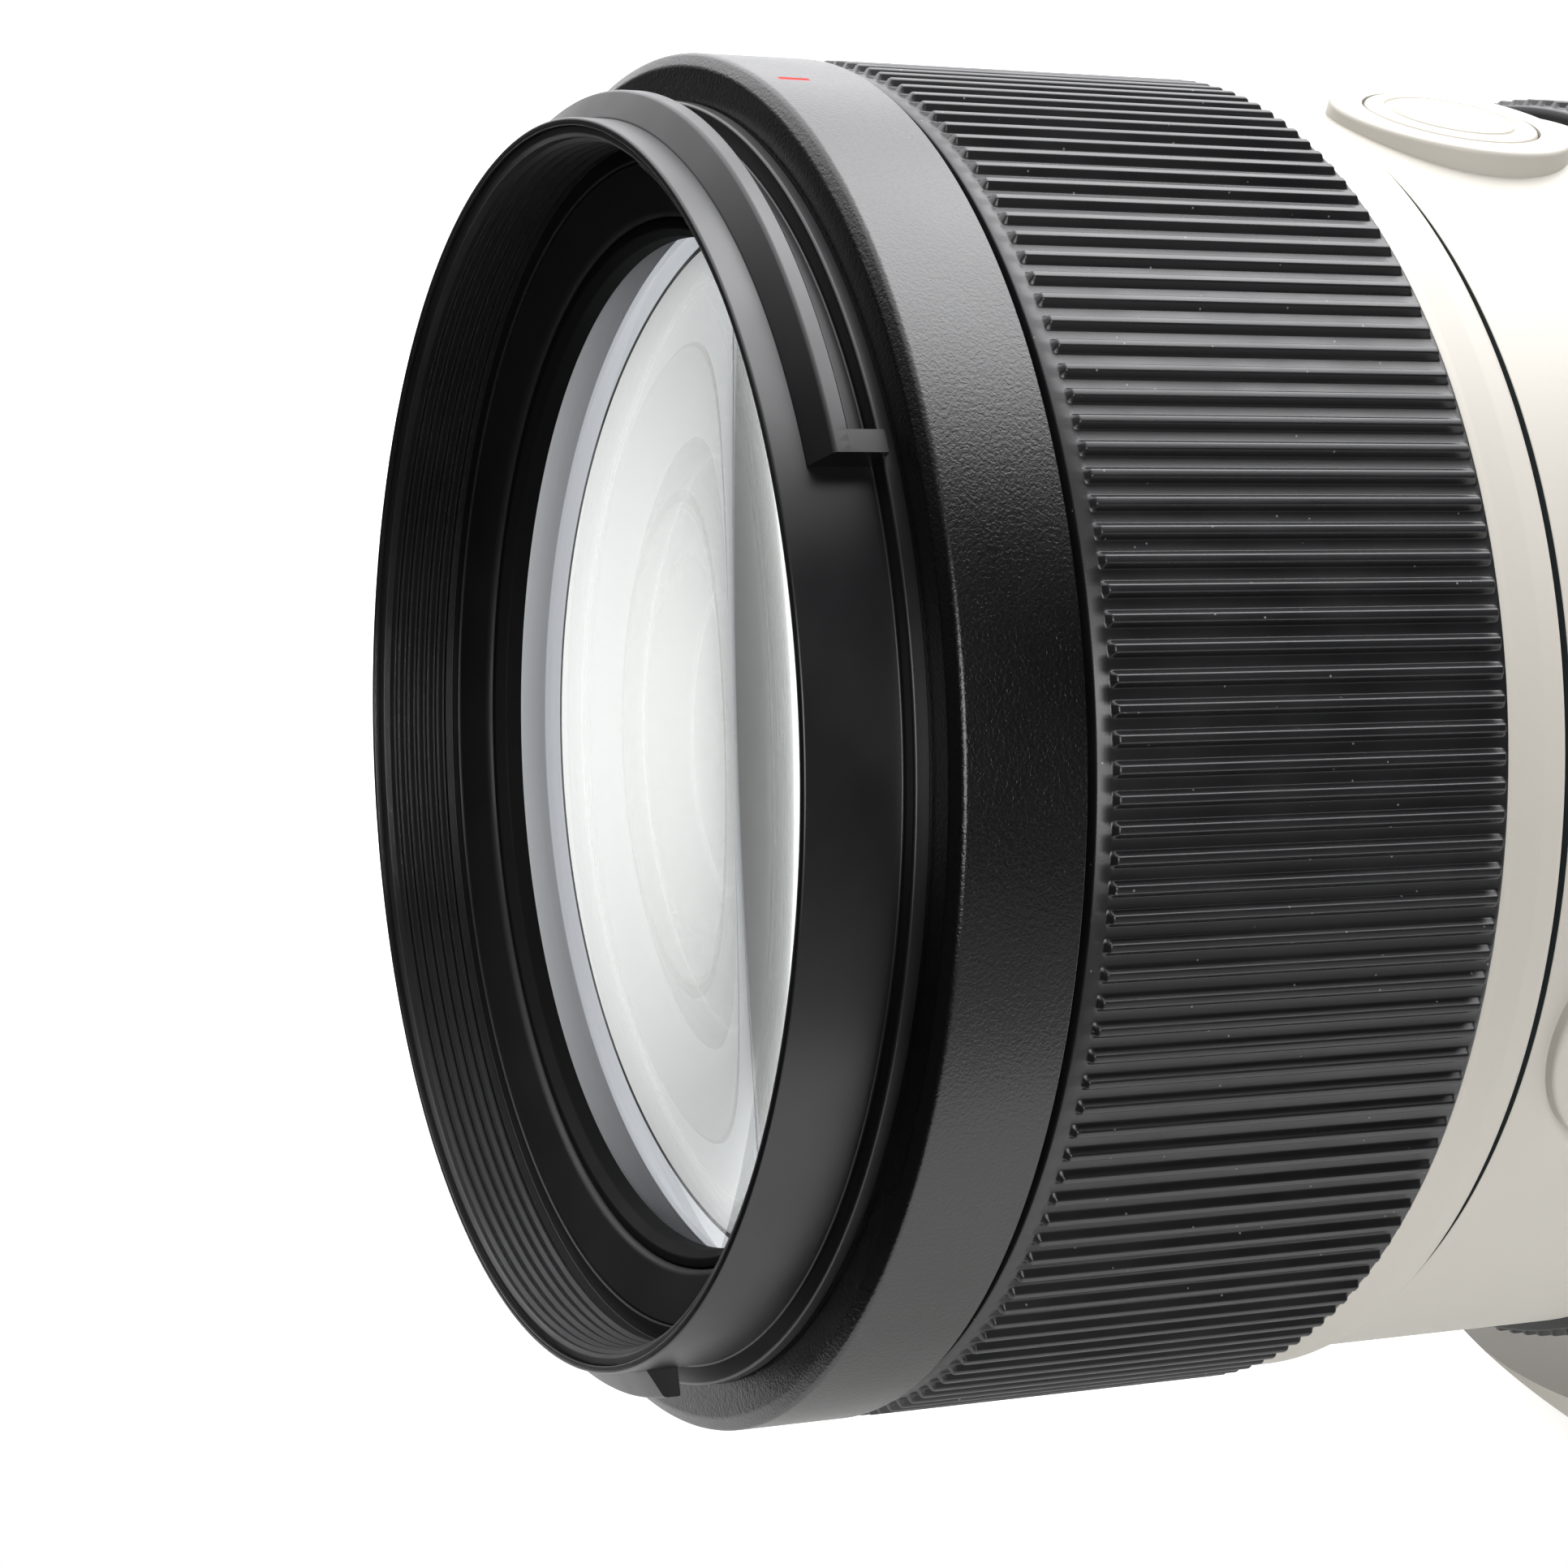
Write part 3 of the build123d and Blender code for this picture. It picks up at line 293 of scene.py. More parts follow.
ring_outline = [
    (39.2, -200.0, 0.1), (39.7, -200.0, 0.2), (39.7, -194.0, 0.15), (41.0, -194.0, 0.2),
    (41.0, -193.25, 0), (40.8, -193.25, 0), (40.8, -188.2, 0), (39.2, -188.2, 0),
]
lug_outline = [
    (39.45, -198.0, 0), (39.7, -198.0, 0.15), (41.5, -197.0, 0.2), (41.5, -195.9, 0.12), (39.45, -195.9, 0)]
stop_outline = [(39.45, -196.15, 0), (41.5, -196.15, 0.12), (41.5, -193.75, 0), (39.45, -193.75, 0)]
hood_ring = placed("hood_mount_ring", turned_mesh(ring_outline, steps=320))
for middle, half in LUGS:
    lug = turned_mesh(lug_outline, steps=96, start=middle - half, sweep=2 * half)
    hood_ring = combined(hood_ring, placed("lug", lug), "UNION")
    stop = turned_mesh(stop_outline, steps=4, start=middle + half - STOP_TURN, sweep=STOP_TURN)
    hood_ring = combined(hood_ring, placed("stop", stop), "UNION")
smoothed(hood_ring)
stands_for(hood_ring, "hood_bayonet_ring")
black_polycarbonate = moulded_surface(
    "moulded_black_polycarbonate", "#09090b", "#0d0d0f", 0.14, 0.0012, (0.30, 0.40),
    {"IOR": 1.58, "Specular IOR Level": 0.35})
hood_ring.data.materials.append(black_polycarbonate)

# Filter ring: turned from aluminium, threaded M77 x 0.75 and anodised black. It sits inside the hood
# ring and stops on a narrow shelf. The thread is one unbroken ridge that winds down the bore.
# The tool leaves faint rings, which the dull oxide shows as a silky sheen.
THREAD_PITCH = 0.75
THREAD_ROOT, THREAD_CREST = 38.53, 38.28
THREAD_START, THREAD_END = -199.5, -194.3


def thread_ridge(steps):
    """Helical ridge of the screw thread about the optical axis, with so many steps in a turn."""
    mesh = bmesh.new()
    half = THREAD_PITCH * 0.42
    outline = [(THREAD_ROOT, -half), (THREAD_CREST, -half * 0.2), (THREAD_CREST, half * 0.2),
               (THREAD_ROOT, half)]
    corners = [mesh.verts.new((0, (THREAD_START + half + y) * MM, radius * MM)) for radius, y in outline]
    for this, following in zip(corners, corners[1:] + corners[:1]):
        mesh.edges.new((this, following))
    bmesh.ops.edgeloop_fill(mesh, edges=mesh.edges[:])
    turns = (THREAD_END - THREAD_START - 2 * half) / THREAD_PITCH
    count = int(turns * steps)
    bmesh.ops.spin(mesh, geom=mesh.faces[:] + mesh.edges[:] + mesh.verts[:], cent=(0, 0, 0),
                   axis=(0, 1, 0), dvec=(0, turns * THREAD_PITCH * MM / count, 0), angle=2 * pi * turns,
                   steps=count, use_merge=False, use_duplicate=False)
    bmesh.ops.recalc_face_normals(mesh, faces=mesh.faces)
    return mesh


def turned_surface(name, dark, light, pitch, depth, gloss, settings):
    """Lathe-turned finish: fine rings at a pitch in mm round the optical axis, on every face."""
    surface, tree, place = start_surface(name)
    across = add_node(tree, "ShaderNodeVectorMath", {"operation": "MULTIPLY", 1: (1, 0, 1)}, {0: place})
    radius = add_node(tree, "ShaderNodeVectorMath", {"operation": "LENGTH"}, {0: across.outputs["Vector"]})
    along = add_node(tree, "ShaderNodeSeparateXYZ", None, {0: place})
    section = add_node(tree, "ShaderNodeCombineXYZ", None, {
        "X": radius.outputs["Value"], "Y": along.outputs["Y"]})
    rings = noise(tree, section.outputs["Vector"], pitch, 1.0)
    clouds = noise(tree, place, 7, 3.0)
    end_surface(tree, settings, {
        "Base Color": blend(tree, dark, light, clouds), "Roughness": spread(tree, clouds, *gloss),
        "Normal": relief(tree, rings, depth)})
    return surface


filter_mesh = turned_mesh([
    (39.15, -199.7, 0), (38.75, -199.7, 0.08), (38.5, -199.4, 0.05), (38.5, -194.1, 0.05),
    (37.35, -194.1, 0.15), (37.35, -188.2, 0), (39.15, -188.2, 0)])
ridge = bpy.data.meshes.new("ridge")
thread_ridge(steps=160).to_mesh(ridge)
filter_mesh.from_mesh(ridge)
bpy.data.meshes.remove(ridge)
filter_ring = smoothed(placed("filter_thread_ring", filter_mesh))
stands_for(filter_ring, "filter_ring")
black_oxide = turned_surface(
    "black_anodised_aluminium", "#09090b", "#0d0d0f", 0.08, 0.0012, (0.40, 0.50),
    {"IOR": 1.6, "Specular IOR Level": 0.35})
filter_ring.data.materials.append(black_oxide)

# Trim ring and retainer: the bare cone in front of the glass, and the thin nut that holds the glass
# down. Both are turned aluminium: the cone is bead blasted and anodised black, which gives it a soft
# grey sheen, and the nut is painted flat black so that nothing shines beside the glass.
trim_ring = smoothed(placed("bare_trim_ring", turned_mesh([
    (37.3, -193.9, 0.1), (33.8, -192.9, 0.45), (33.8, -191.5, 0), (37.3, -191.5, 0)])))
stands_for(trim_ring, "front_trim_ring")
soft_oxide = turned_surface(
    "bead_blasted_black_oxide", "#0b0b0c", "#101012", 0.1, 0.0015, (0.46, 0.56), {"IOR": 1.5})
trim_ring.data.materials.append(soft_oxide)
retainer = smoothed(placed("glass_retainer", turned_mesh([
    (33.7, -192.6, 0.08), (33.1, -192.6, 0.1), (32.6, -191.9, 0.1), (32.6, -190.75, 0),
    (33.7, -190.5, 0)])))
stands_for(retainer, "front_retainer")
flat_black = turned_surface(
    "flocked_flat_black_paint", "#040404", "#070707", 0.1, 0.0015, (0.6, 0.7),
    {"IOR": 1.4, "Specular IOR Level": 0.25})
retainer.data.materials.append(flat_black)

# Front lens group: three polished elements of high-index optical glass in the front cell. Each face is
# a part of a sphere. Their ground edges are matt and carry a painted glow, strongest on one side of the
# rims, which shows through the glass as a pale crescent and a bright field.
EDGE_CHAMFER = 0.25
GLASS_FRONT, GLASS_REAR = -190.5, -155.2
# Painted glow of the ground edges, from the front rim to the rear one
EDGE_PAINTED_GLOW = ((0.0, "#b0b1b4"), (0.56, "#7c7e82"), (0.65, "#ffffff"))
EDGE_PAINTED_GLOW_STRENGTH = 1.5
# Side of the rims where the painted glow is strong, and how far along it the glow begins and is full
PAINTED_GLOW_SIDE = (-0.93, 0.0, -0.37)
PAINTED_GLOW_START, PAINTED_GLOW_END = 11, 33


def lens_mesh(radius, front_y, rear_y, front_curve, rear_curve, steps=160):
    """Element from its rim's radius and y places; a curve bulges outwards, or inwards if negative."""
    mesh = bmesh.new()
    rims = []
    for rim_y, curve, way in ((front_y, front_curve, 1), (rear_y, rear_curve, -1)):
        face_radius = radius - EDGE_CHAMFER
        bend = 1 if curve > 0 else -1
        centre = rim_y + way * bend * sqrt(curve**2 - face_radius**2)
        pole = mesh.verts.new((0, (centre - way * bend * abs(curve)) * MM, 0))
        arc = bmesh.ops.spin(mesh, geom=[pole], cent=(0, centre * MM, 0), axis=(1, 0, 0), dvec=(0, 0, 0),
                             angle=-way * bend * asin(face_radius / abs(curve)), steps=24,
                             use_merge=False, use_duplicate=False)
        face_rim = arc["geom_last"][0]
        side_rim = mesh.verts.new((0, (rim_y + way * EDGE_CHAMFER) * MM, radius * MM))
        mesh.edges.new((face_rim, side_rim))
        rims.append(side_rim)
    mesh.edges.new(rims)
    bmesh.ops.spin(mesh, geom=mesh.edges[:] + mesh.verts[:], cent=(0, 0, 0), axis=(0, 1, 0),
                   dvec=(0, 0, 0), angle=2 * pi, steps=steps, use_merge=True, use_duplicate=False)
    bmesh.ops.remove_doubles(mesh, verts=mesh.verts, dist=0.0001 * MM)
    bmesh.ops.recalc_face_normals(mesh, faces=mesh.faces)
    for face in mesh.faces:
        middle = face.calc_center_median()
        if Vector((middle.x, 0, middle.z)).length > (radius - EDGE_CHAMFER) * MM * 0.999:
            face.material_index = 1
    return mesh


def glass_surface(name, tint, index):
    """Polished optical glass of a refractive index, with a trace of dust haze."""
    surface, tree, place = start_surface(name)
    dust = noise(tree, place, 6, 4.0)
    end_surface(tree, {"Base Color": linear(tint), "IOR": index, "Transmission Weight": 1.0}, {
        "Roughness": spread(tree, dust, 0.0, 0.006, 0.55, 0.9)})
    return surface


coated_glass = glass_surface("coated_optical_glass", "#f6f8f6", 1.85)
# Ground edges: emission paints a glow on them, which grows towards one side of each rim.
ground_edge_painted_glow, tree, place = start_surface("ground_glass_edge_painted_glow")
along = add_node(tree, "ShaderNodeSeparateXYZ", None, {0: place})
depth_in_group = spread(tree, along.outputs["Y"], 0.0, 1.0, GLASS_FRONT * MM, GLASS_REAR * MM)
glow = add_node(tree, "ShaderNodeValToRGB", links={"Fac": depth_in_group})
for stop, (position, colour) in enumerate(EDGE_PAINTED_GLOW):
    mark = glow.color_ramp.elements[stop] if stop < 2 else glow.color_ramp.elements.new(position)
    mark.position = position
    mark.color = linear(colour)
facing = add_node(tree, "ShaderNodeVectorMath", {"operation": "DOT_PRODUCT", 1: PAINTED_GLOW_SIDE}, {0: place})
strength = spread(tree, facing.outputs["Value"], 0.0, EDGE_PAINTED_GLOW_STRENGTH, PAINTED_GLOW_START * MM, PAINTED_GLOW_END * MM)
end_surface(tree, {"IOR": 1.5, "Roughness": 0.7}, {
    "Base Color": blend(tree, "#9a9b9e", "#a9aaad", noise(tree, place, 4, 3.0)),
    "Emission Color": glow.outputs["Color"], "Emission Strength": strength})
front_glass = placed("front_glass", lens_mesh(33.7, GLASS_FRONT, -171.3, 190.0, 280.0))
stands_for(front_glass, "front_element")
second_glass = placed("second_glass", lens_mesh(33.0, -167.5, GLASS_REAR, 383.0, -62.0))
third_glass = placed("third_glass", lens_mesh(30.5, -154.8, -152.6, 66.0, -95.0))
for piece in (second_glass, third_glass):
    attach(piece, "barrel")
for piece in (front_glass, second_glass, third_glass):
    piece.data.shade_smooth()
    piece.data.set_sharp_from_angle(angle=radians(30))
    piece.data.materials.append(coated_glass)
    piece.data.materials.append(ground_edge_painted_glow)

# Spacer: the turned aluminium ring that keeps the first two elements apart. Its satin face carries a
# painted glow, so it shows pale through the glass.
spacer = smoothed(placed("element_spacer", turned_mesh([
    (33.7, -171.1, 0), (32.9, -171.1, 0.1), (32.9, -167.7, 0.1), (33.7, -167.7, 0)])))
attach(spacer, "barrel")
# Emission paints a glow on the spacer's face, which is no lamp.
satin_aluminium_painted_glow = moulded_surface(
    "satin_aluminium_with_painted_glow", "#9a9b9e", "#a6a7aa", 0.3, 0.002, (0.5, 0.6),
    {"Metallic": 1.0, "Emission Color": linear("#a6a8ae"), "Emission Strength": 1.7})
spacer.data.materials.append(satin_aluminium_painted_glow)

# Front cell: the black moulded tube that holds the front group, with fine rings moulded into its
# bore against stray light.
bore_black = turned_surface(
    "matt_black_bore", "#0c0c0d", "#131315", 0.5, 0.12, (0.55, 0.7), {"IOR": 1.58})
front_cell = smoothed(placed("front_group_cell", turned_mesh([
    (37.2, -191.45, 0), (33.75, -191.45, 0), (33.75, -167.6, 0), (33.05, -167.6, 0), (33.05, -155.1, 0),
    (30.55, -155.1, 0), (30.55, -152.15, 0), (37.2, -152.15, 0)])))
stands_for(front_cell, "front_cell")
front_cell.data.materials.append(bore_black)

# Index ring: turned aluminium with a sprayed, finely crinkled black paint, screwed on behind the
# hood ring. Its satin gloss catches the tent at the top and stays black at the side. A red stroke is
# engraved in its top to line up the lens hood, and filled with enamel.
MARK_Y, MARK_WIDTH, MARK_LENGTH = -190.15, 0.5, 2.0


def mark_box(height, thickness):
    """Box at the red mark's place, with its middle at a height over the optical axis."""
    mesh = bmesh.new()
    bmesh.ops.create_cube(mesh, size=1.0, matrix=Matrix.Translation((0, MARK_Y * MM, height * MM))
                          @ Matrix.Diagonal((MARK_WIDTH * MM, MARK_LENGTH * MM, thickness * MM, 1)))
    return mesh


index_ring = placed("satin_index_ring", turned_mesh([
    (40.85, -193.0, 0), (43.15, -193.0, 0.15), (44.0, -192.5, 0.25), (44.0, -185.0, 0.1),
    (40.85, -185.0, 0)], steps=360))
index_ring = combined(index_ring, placed("groove", mark_box(44.0, 0.3)), "DIFFERENCE")
smoothed(index_ring)
stands_for(index_ring, "index_ring")
satin_paint, tree, place = start_surface("crinkled_satin_black_paint")
crinkle = noise(tree, place, 0.22, 2.0, {"Distortion": 0.6})
crests = spread(tree, crinkle, 0.0, 1.0, 0.35, 0.65)
wear = noise(tree, place, 12, 4.0)
end_surface(tree, {"IOR": 1.5}, {
    "Base Color": blend(tree, "#030303", "#060606", crests), "Roughness": spread(tree, wear, 0.27, 0.33),
    "Normal": relief(tree, crests, 0.010)})
index_ring.data.materials.append(satin_paint)

red_mark = placed("red_hood_mark", mark_box(43.9, 0.18))
stands_for(red_mark, "hood_index_mark")
red_fill, tree, place = start_surface("red_engraving_enamel")
end_surface(tree, {"Roughness": 0.45, "IOR": 1.52, "Specular IOR Level": 0.03}, {
    "Base Color": blend(tree, "#d2140c", "#de1c12", noise(tree, place, 0.4, 2.0))})
red_mark.data.materials.append(red_fill)

# Grips: two moulded rubber sleeves stretched over the focus and zoom rings. 166 ribs stand on each,
# between a plain front lip and a narrow rear one, and their ends slope down to it.
# Rubber is dull, its crests catch a thin light, and a few specks of dust cling to it.
GRIP_RADIUS = 44.0
SLEEVE_RADIUS = 42.6
RIB_COUNT = 166
RIB_HEIGHT = 0.5
FRONT_LIP, REAR_LIP = 0.95, 0.2
FRONT_EDGE, REAR_EDGE = 0.12, 0.05
# Half cells across and shares of the height: a flat floor, a steep wall with small roundings, a crest
RIB_SECTION_SHARES = [
    (-1, 0), (-0.68, 0), (-0.59, 0.06), (-0.52, 0.20), (-0.32, 0.80), (-0.25, 0.94), (-0.15, 1.0)]
# Shares of a rib end's length and of the height
RIB_END_SHARES = [(0, 0), (0.25, 0.12), (0.65, 0.85), (1, 1)]
RIB_END_LENGTH = 0.4


def grip_mesh(y_front, y_back):
    """Ring of equal cells, each with one raised rib in its middle, closed over the sleeve inside it."""
    mesh = bmesh.new()
    half_cell = pi * GRIP_RADIUS / RIB_COUNT
    floor_radius = GRIP_RADIUS - RIB_HEIGHT
    section = RIB_SECTION_SHARES + [(-across, height) for across, height in reversed(RIB_SECTION_SHARES)]
    rows = [(y_front + FRONT_EDGE, 0)]
    rows += [(y_front + FRONT_LIP + along * RIB_END_LENGTH, height) for along, height in RIB_END_SHARES]
    rows += [(y_back - REAR_LIP - along * RIB_END_LENGTH, height)
             for along, height in reversed(RIB_END_SHARES)]
    rows += [(y_back - REAR_EDGE, 0)]
    grid = [[mesh.verts.new(Matrix.Rotation(across * half_cell / GRIP_RADIUS, 3, "Y")
                            @ Vector((0, y * MM, (floor_radius + height * raised * RIB_HEIGHT) * MM)))
             for across, height in section] for y, raised in rows]
    for row, following in zip(grid, grid[1:]):
        for corners in zip(row, row[1:], following[1:], following):
            mesh.faces.new(corners)
    bmesh.ops.spin(mesh, geom=mesh.faces[:] + mesh.edges[:] + mesh.verts[:], cent=(0, 0, 0),
                   axis=(0, 1, 0), dvec=(0, 0, 0), angle=2 * pi, steps=RIB_COUNT,
                   use_merge=False, use_duplicate=True)
    bmesh.ops.remove_doubles(mesh, verts=mesh.verts, dist=0.002 * MM)
    inner = []
    for row_y, end_y, edge in ((rows[0][0], y_front, FRONT_EDGE), (rows[-1][0], y_back, REAR_EDGE)):
        rim = [e for e in mesh.edges
               if e.is_boundary and all(abs(v.co.y - row_y * MM) < 1e-6 for v in e.verts)]
        for radius in (floor_radius - edge, SLEEVE_RADIUS):
            grown = bmesh.ops.extrude_edge_only(mesh, edges=rim)["geom"]
            rim = [part for part in grown if isinstance(part, bmesh.types.BMEdge)]
            rim = [e for e in rim if e.is_boundary]
            for vert in (part for part in grown if isinstance(part, bmesh.types.BMVert)):
                flat = Vector((vert.co.x, 0, vert.co.z)).normalized() * radius * MM
                vert.co = Vector((flat.x, end_y * MM, flat.z))
        inner += rim
    bmesh.ops.bridge_loops(mesh, edges=inner)
    bmesh.ops.recalc_face_normals(mesh, faces=mesh.faces)
    return mesh


grip_rubber, tree, place = start_surface("moulded_black_rubber")
bloom = noise(tree, place, 5, 4.0)
tint = blend(tree, "#0d0d0f", "#131315", bloom)
cells = add_node(tree, "ShaderNodeTexVoronoi", {"Scale": 1 / (1.3 * MM), "Randomness": 1.0}, {
    "Vector": place})
speck = spread(tree, cells.outputs["Distance"], 1.0, 0.0, 0.045, 0.06)
dusty = add_node(tree, "ShaderNodeMix", {"data_type": "RGBA", 7: linear("#6c6c6c")}, {0: speck, 6: tint})
skin = noise(tree, place, 0.12, 2.0)
end_surface(tree, {"IOR": 1.52}, {
    "Base Color": dusty.outputs[2], "Roughness": spread(tree, bloom, 0.33, 0.41),
    "Normal": relief(tree, skin, 0.004)})
focus_grip = smoothed(placed("focus_grip", grip_mesh(-184.25, -157.35)), angle=50)
stands_for(focus_grip, "focus_ring_rubber")
zoom_grip = smoothed(placed("zoom_grip", grip_mesh(-130.5, -100.5)), angle=50)
stands_for(zoom_grip, "zoom_ring_rubber")
for piece in (focus_grip, zoom_grip):
    piece.data.materials.append(grip_rubber)

# End ring: the white step behind the focus grip. Like all white barrel parts it is cast or turned in
# aluminium or magnesium under a warm white baked enamel that keeps the sun's heat out. The spray
# leaves a faint orange peel and the top coat a soft sheen. The faces where two parts meet have a dark
# grey-green primer colour, which also paints the shade in the seam between them.
white_enamel, tree, place = start_surface("warm_white_baked_enamel")
peel = noise(tree, place, 0.35, 3.0, {"Roughness": 0.6})
clouds = noise(tree, place, 15, 3.0)
end_surface(tree, {"IOR": 1.5, "Specular IOR Level": 0.3}, {
    "Base Color": blend(tree, "#b0aca3", "#b6b2aa", clouds), "Roughness": spread(tree, clouds, 0.38, 0.46),
    "Normal": relief(tree, peel, 0.006)})
# Dark primer for the mating faces: partly the primer's own colour, partly painted shade in the seam.
primer_and_painted_seam_shade = moulded_surface(
    "grey_green_primer_and_painted_seam_shade", "#2c3333", "#343b3b", 0.3, 0.003, (0.6, 0.7), {"IOR": 1.5})


def enamelled(piece, painted_seam_y):
    """White enamel all over, but for the end face at a y place, which has the dark primer that also paints
    the seam's shade.
    """
    piece.data.materials.append(white_enamel)
    piece.data.materials.append(primer_and_painted_seam_shade)
    for face in piece.data.polygons:
        if abs(face.center.y - painted_seam_y * MM) < 0.01 * MM:
            face.material_index = 1


end_ring = smoothed(placed("white_end_ring", turned_mesh([
    (40.85, -157.25, 0), (43.3, -157.25, 0.12), (43.3, -156.65, 0.1), (43.6, -154.95, 0.1),
    (43.6, -153.5, 0.3), (42.95, -153.1, 0.1), (40.85, -153.1, 0)], steps=360)))
stands_for(end_ring, "focus_end_ring")
enamelled(end_ring, painted_seam_y=-153.1)

# Front barrel with three round bosses, each bored for a focus-hold button. The casting is machined,
# then enamelled with the bosses.
BUTTON_Y = -143.2
BUTTON_PLACES = {"top": 0.0, "left": 91.2, "bottom": 180.0}
BOSS_RADIUS, BOSS_FACE, BOSS_BORE = 8.05, 43.7, 5.9


def rod_mesh(outline, angle, y=BUTTON_Y, steps=96):
    """Rod that stands out from the optical axis at an angle, from (radius, height, rounding) in mm."""
    mesh = bmesh.new()
    corners = [mesh.verts.new((radius * MM, 0, height * MM)) for radius, height, _ in outline]
    for this, following in zip(corners, corners[1:]):
        mesh.edges.new((this, following))
    for corner, (_, _, rounding) in zip(corners, outline):
        if rounding:
            bmesh.ops.bevel(mesh, geom=[corner], offset=rounding * MM, offset_type="OFFSET", segments=4,
                            profile=0.5, affect="VERTICES", clamp_overlap=True, material=-1)
    bmesh.ops.spin(mesh, geom=mesh.edges[:] + mesh.verts[:], cent=(0, 0, 0), axis=(0, 0, 1),
                   dvec=(0, 0, 0), angle=2 * pi, steps=steps, use_merge=True, use_duplicate=False)
    bmesh.ops.remove_doubles(mesh, verts=mesh.verts, dist=0.0001 * MM)
    bmesh.ops.recalc_face_normals(mesh, faces=mesh.faces)
    bmesh.ops.translate(mesh, verts=mesh.verts, vec=(0, y * MM, 0))
    outwards = Matrix.Rotation(radians(angle), 3, "Y")
    bmesh.ops.rotate(mesh, verts=mesh.verts, cent=(0, 0, 0), matrix=outwards)
    return mesh


def plain_rod(radius, low, high, edge=0.0):
    """Outline of a rod between two heights, with its outer edge rounded."""
    return [(0, low, 0), (radius, low, 0), (radius, high, edge), (0, high, 0)]


front_barrel = placed("front_barrel_shell", turned_mesh([
    (40.85, -152.45, 0), (42.8, -152.45, 0.1), (42.8, -131.0, 0.18), (40.85, -131.0, 0)], steps=360))
for angle in BUTTON_PLACES.values():
    boss = rod_mesh(plain_rod(BOSS_RADIUS, 41.2, BOSS_FACE, 0.35), angle)
    front_barrel = combined(front_barrel, placed("boss", boss), "UNION")
    # Other steps than the boss has, so that no edge of one lies on an edge of the other
    bore = rod_mesh(plain_rod(BOSS_BORE, 40.0, 46.0), angle, steps=110)
    front_barrel = combined(front_barrel, placed("bore", bore), "DIFFERENCE")
smoothed(front_barrel, angle=25)
# The rim of each boss's flat face stays a sharp edge, so that the flat is shaded flat
axes = [Matrix.Rotation(radians(angle), 3, "Y") @ Vector((0, 0, 1)) for angle in BUTTON_PLACES.values()]
for edge in front_barrel.data.edges:
    ends = [front_barrel.data.vertices[number].co for number in edge.vertices]
    if any(all(abs(end.dot(axis) - BOSS_FACE * MM) < 0.001 * MM for end in ends) for axis in axes):
        edge.use_edge_sharp = True
stands_for(front_barrel, "front_barrel")
enamelled(front_barrel, painted_seam_y=-152.45)

# Focus-hold buttons: caps moulded in warm white acetal, slightly crowned, with a shallow ring pressed
# in their face. They hang in the bosses by a flange, a little proud of them.
button_acetal = moulded_surface(
    "moulded_warm_white_acetal", "#b8b3a8", "#bfbab0", 0.2, 0.002, (0.34, 0.42), {"IOR": 1.48})
cap_outline = [(0, 41.0, 0), (6.6, 41.0, 0), (6.6, 41.65, 0), (5.74, 41.65, 0), (5.74, 43.8, 0.3),
               (4.5, 43.85, 0), (4.4, 43.72, 0), (4.2, 43.72, 0), (4.1, 43.87, 0), (0, 43.9, 0)]
for place_name, angle in BUTTON_PLACES.items():
    cap = smoothed(placed(f"button_cap_{place_name}", rod_mesh(cap_outline, angle)))
    stands_for(cap, f"focus_hold_button_{place_name}")
    cap.data.materials.append(button_acetal)

# Zoom ring: the sleeve under the grip shows behind it as a white band, printed with focal lengths.
# The figures are generic and pass the index line on the rear barrel as the ring turns.
BAND_RADIUS = 43.4
SCALE_MARKS = (("70", 0.0), ("100", -24.0), ("135", -47.0), ("200", -70.0))
FIGURES_Y, FIGURES_SIZE = -96.9, 3.4
zoom_sleeve = placed("zoom_scale_sleeve", turned_mesh([
    (40.85, -130.5, 0), (42.4, -130.5, 0), (42.4, -100.5, 0), (BAND_RADIUS, -100.5, 0.05),
    (BAND_RADIUS, -92.0, 0.2), (40.85, -92.0, 0)], steps=360))
key = rod_mesh(plain_rod(1.8, 37.2, 42.3), 145.0, y=-96.0, steps=32)
zoom_sleeve = smoothed(combined(zoom_sleeve, placed("key", key), "UNION"))
stands_for(zoom_sleeve, "zoom_ring_sleeve")
zoom_sleeve.data.materials.append(white_enamel)
print_ink = moulded_surface(
    "dark_grey_printing_ink", "#26282b", "#2e3033", 0.1, 0.001, (0.5, 0.6), {"IOR": 1.5})


def inked(piece, body):
    """Print that rides with the enamelled piece under it."""
    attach(piece, body)
    piece.data.materials.append(print_ink)


def printed(name, text, size, y, angle, radius, body):
    """Flat print wrapped on the barrel, with the foot of the figures towards the camera end."""
    words = bpy.data.curves.new(name, "FONT")
    words.body = text
    words.size = size * MM
    words.align_x = "CENTER"
    words.align_y = "CENTER"
    words.offset = 0.02 * MM
    words.extrude = 0.02 * MM
    words.resolution_u = 4
    source = bpy.data.objects.new(name, words)
    bpy.context.scene.collection.objects.link(source)
    bpy.context.view_layer.update()
    final = source.evaluated_get(bpy.context.evaluated_depsgraph_get())
    data = bpy.data.meshes.new_from_object(final)
    bpy.data.objects.remove(source)
    mesh = bmesh.new()
    mesh.from_mesh(data)
    bpy.data.meshes.remove(data)
    bmesh.ops.remove_doubles(mesh, verts=mesh.verts, dist=0.001 * MM)
    for vert in mesh.verts:
        turn = radians(angle) - vert.co.x / (radius * MM)
        height = radius * MM + vert.co.z
        vert.co = Matrix.Rotation(turn, 3, "Y") @ Vector((0, y * MM - vert.co.y, height))
    bmesh.ops.recalc_face_normals(mesh, faces=mesh.faces)
    inked(placed(name, mesh), body)


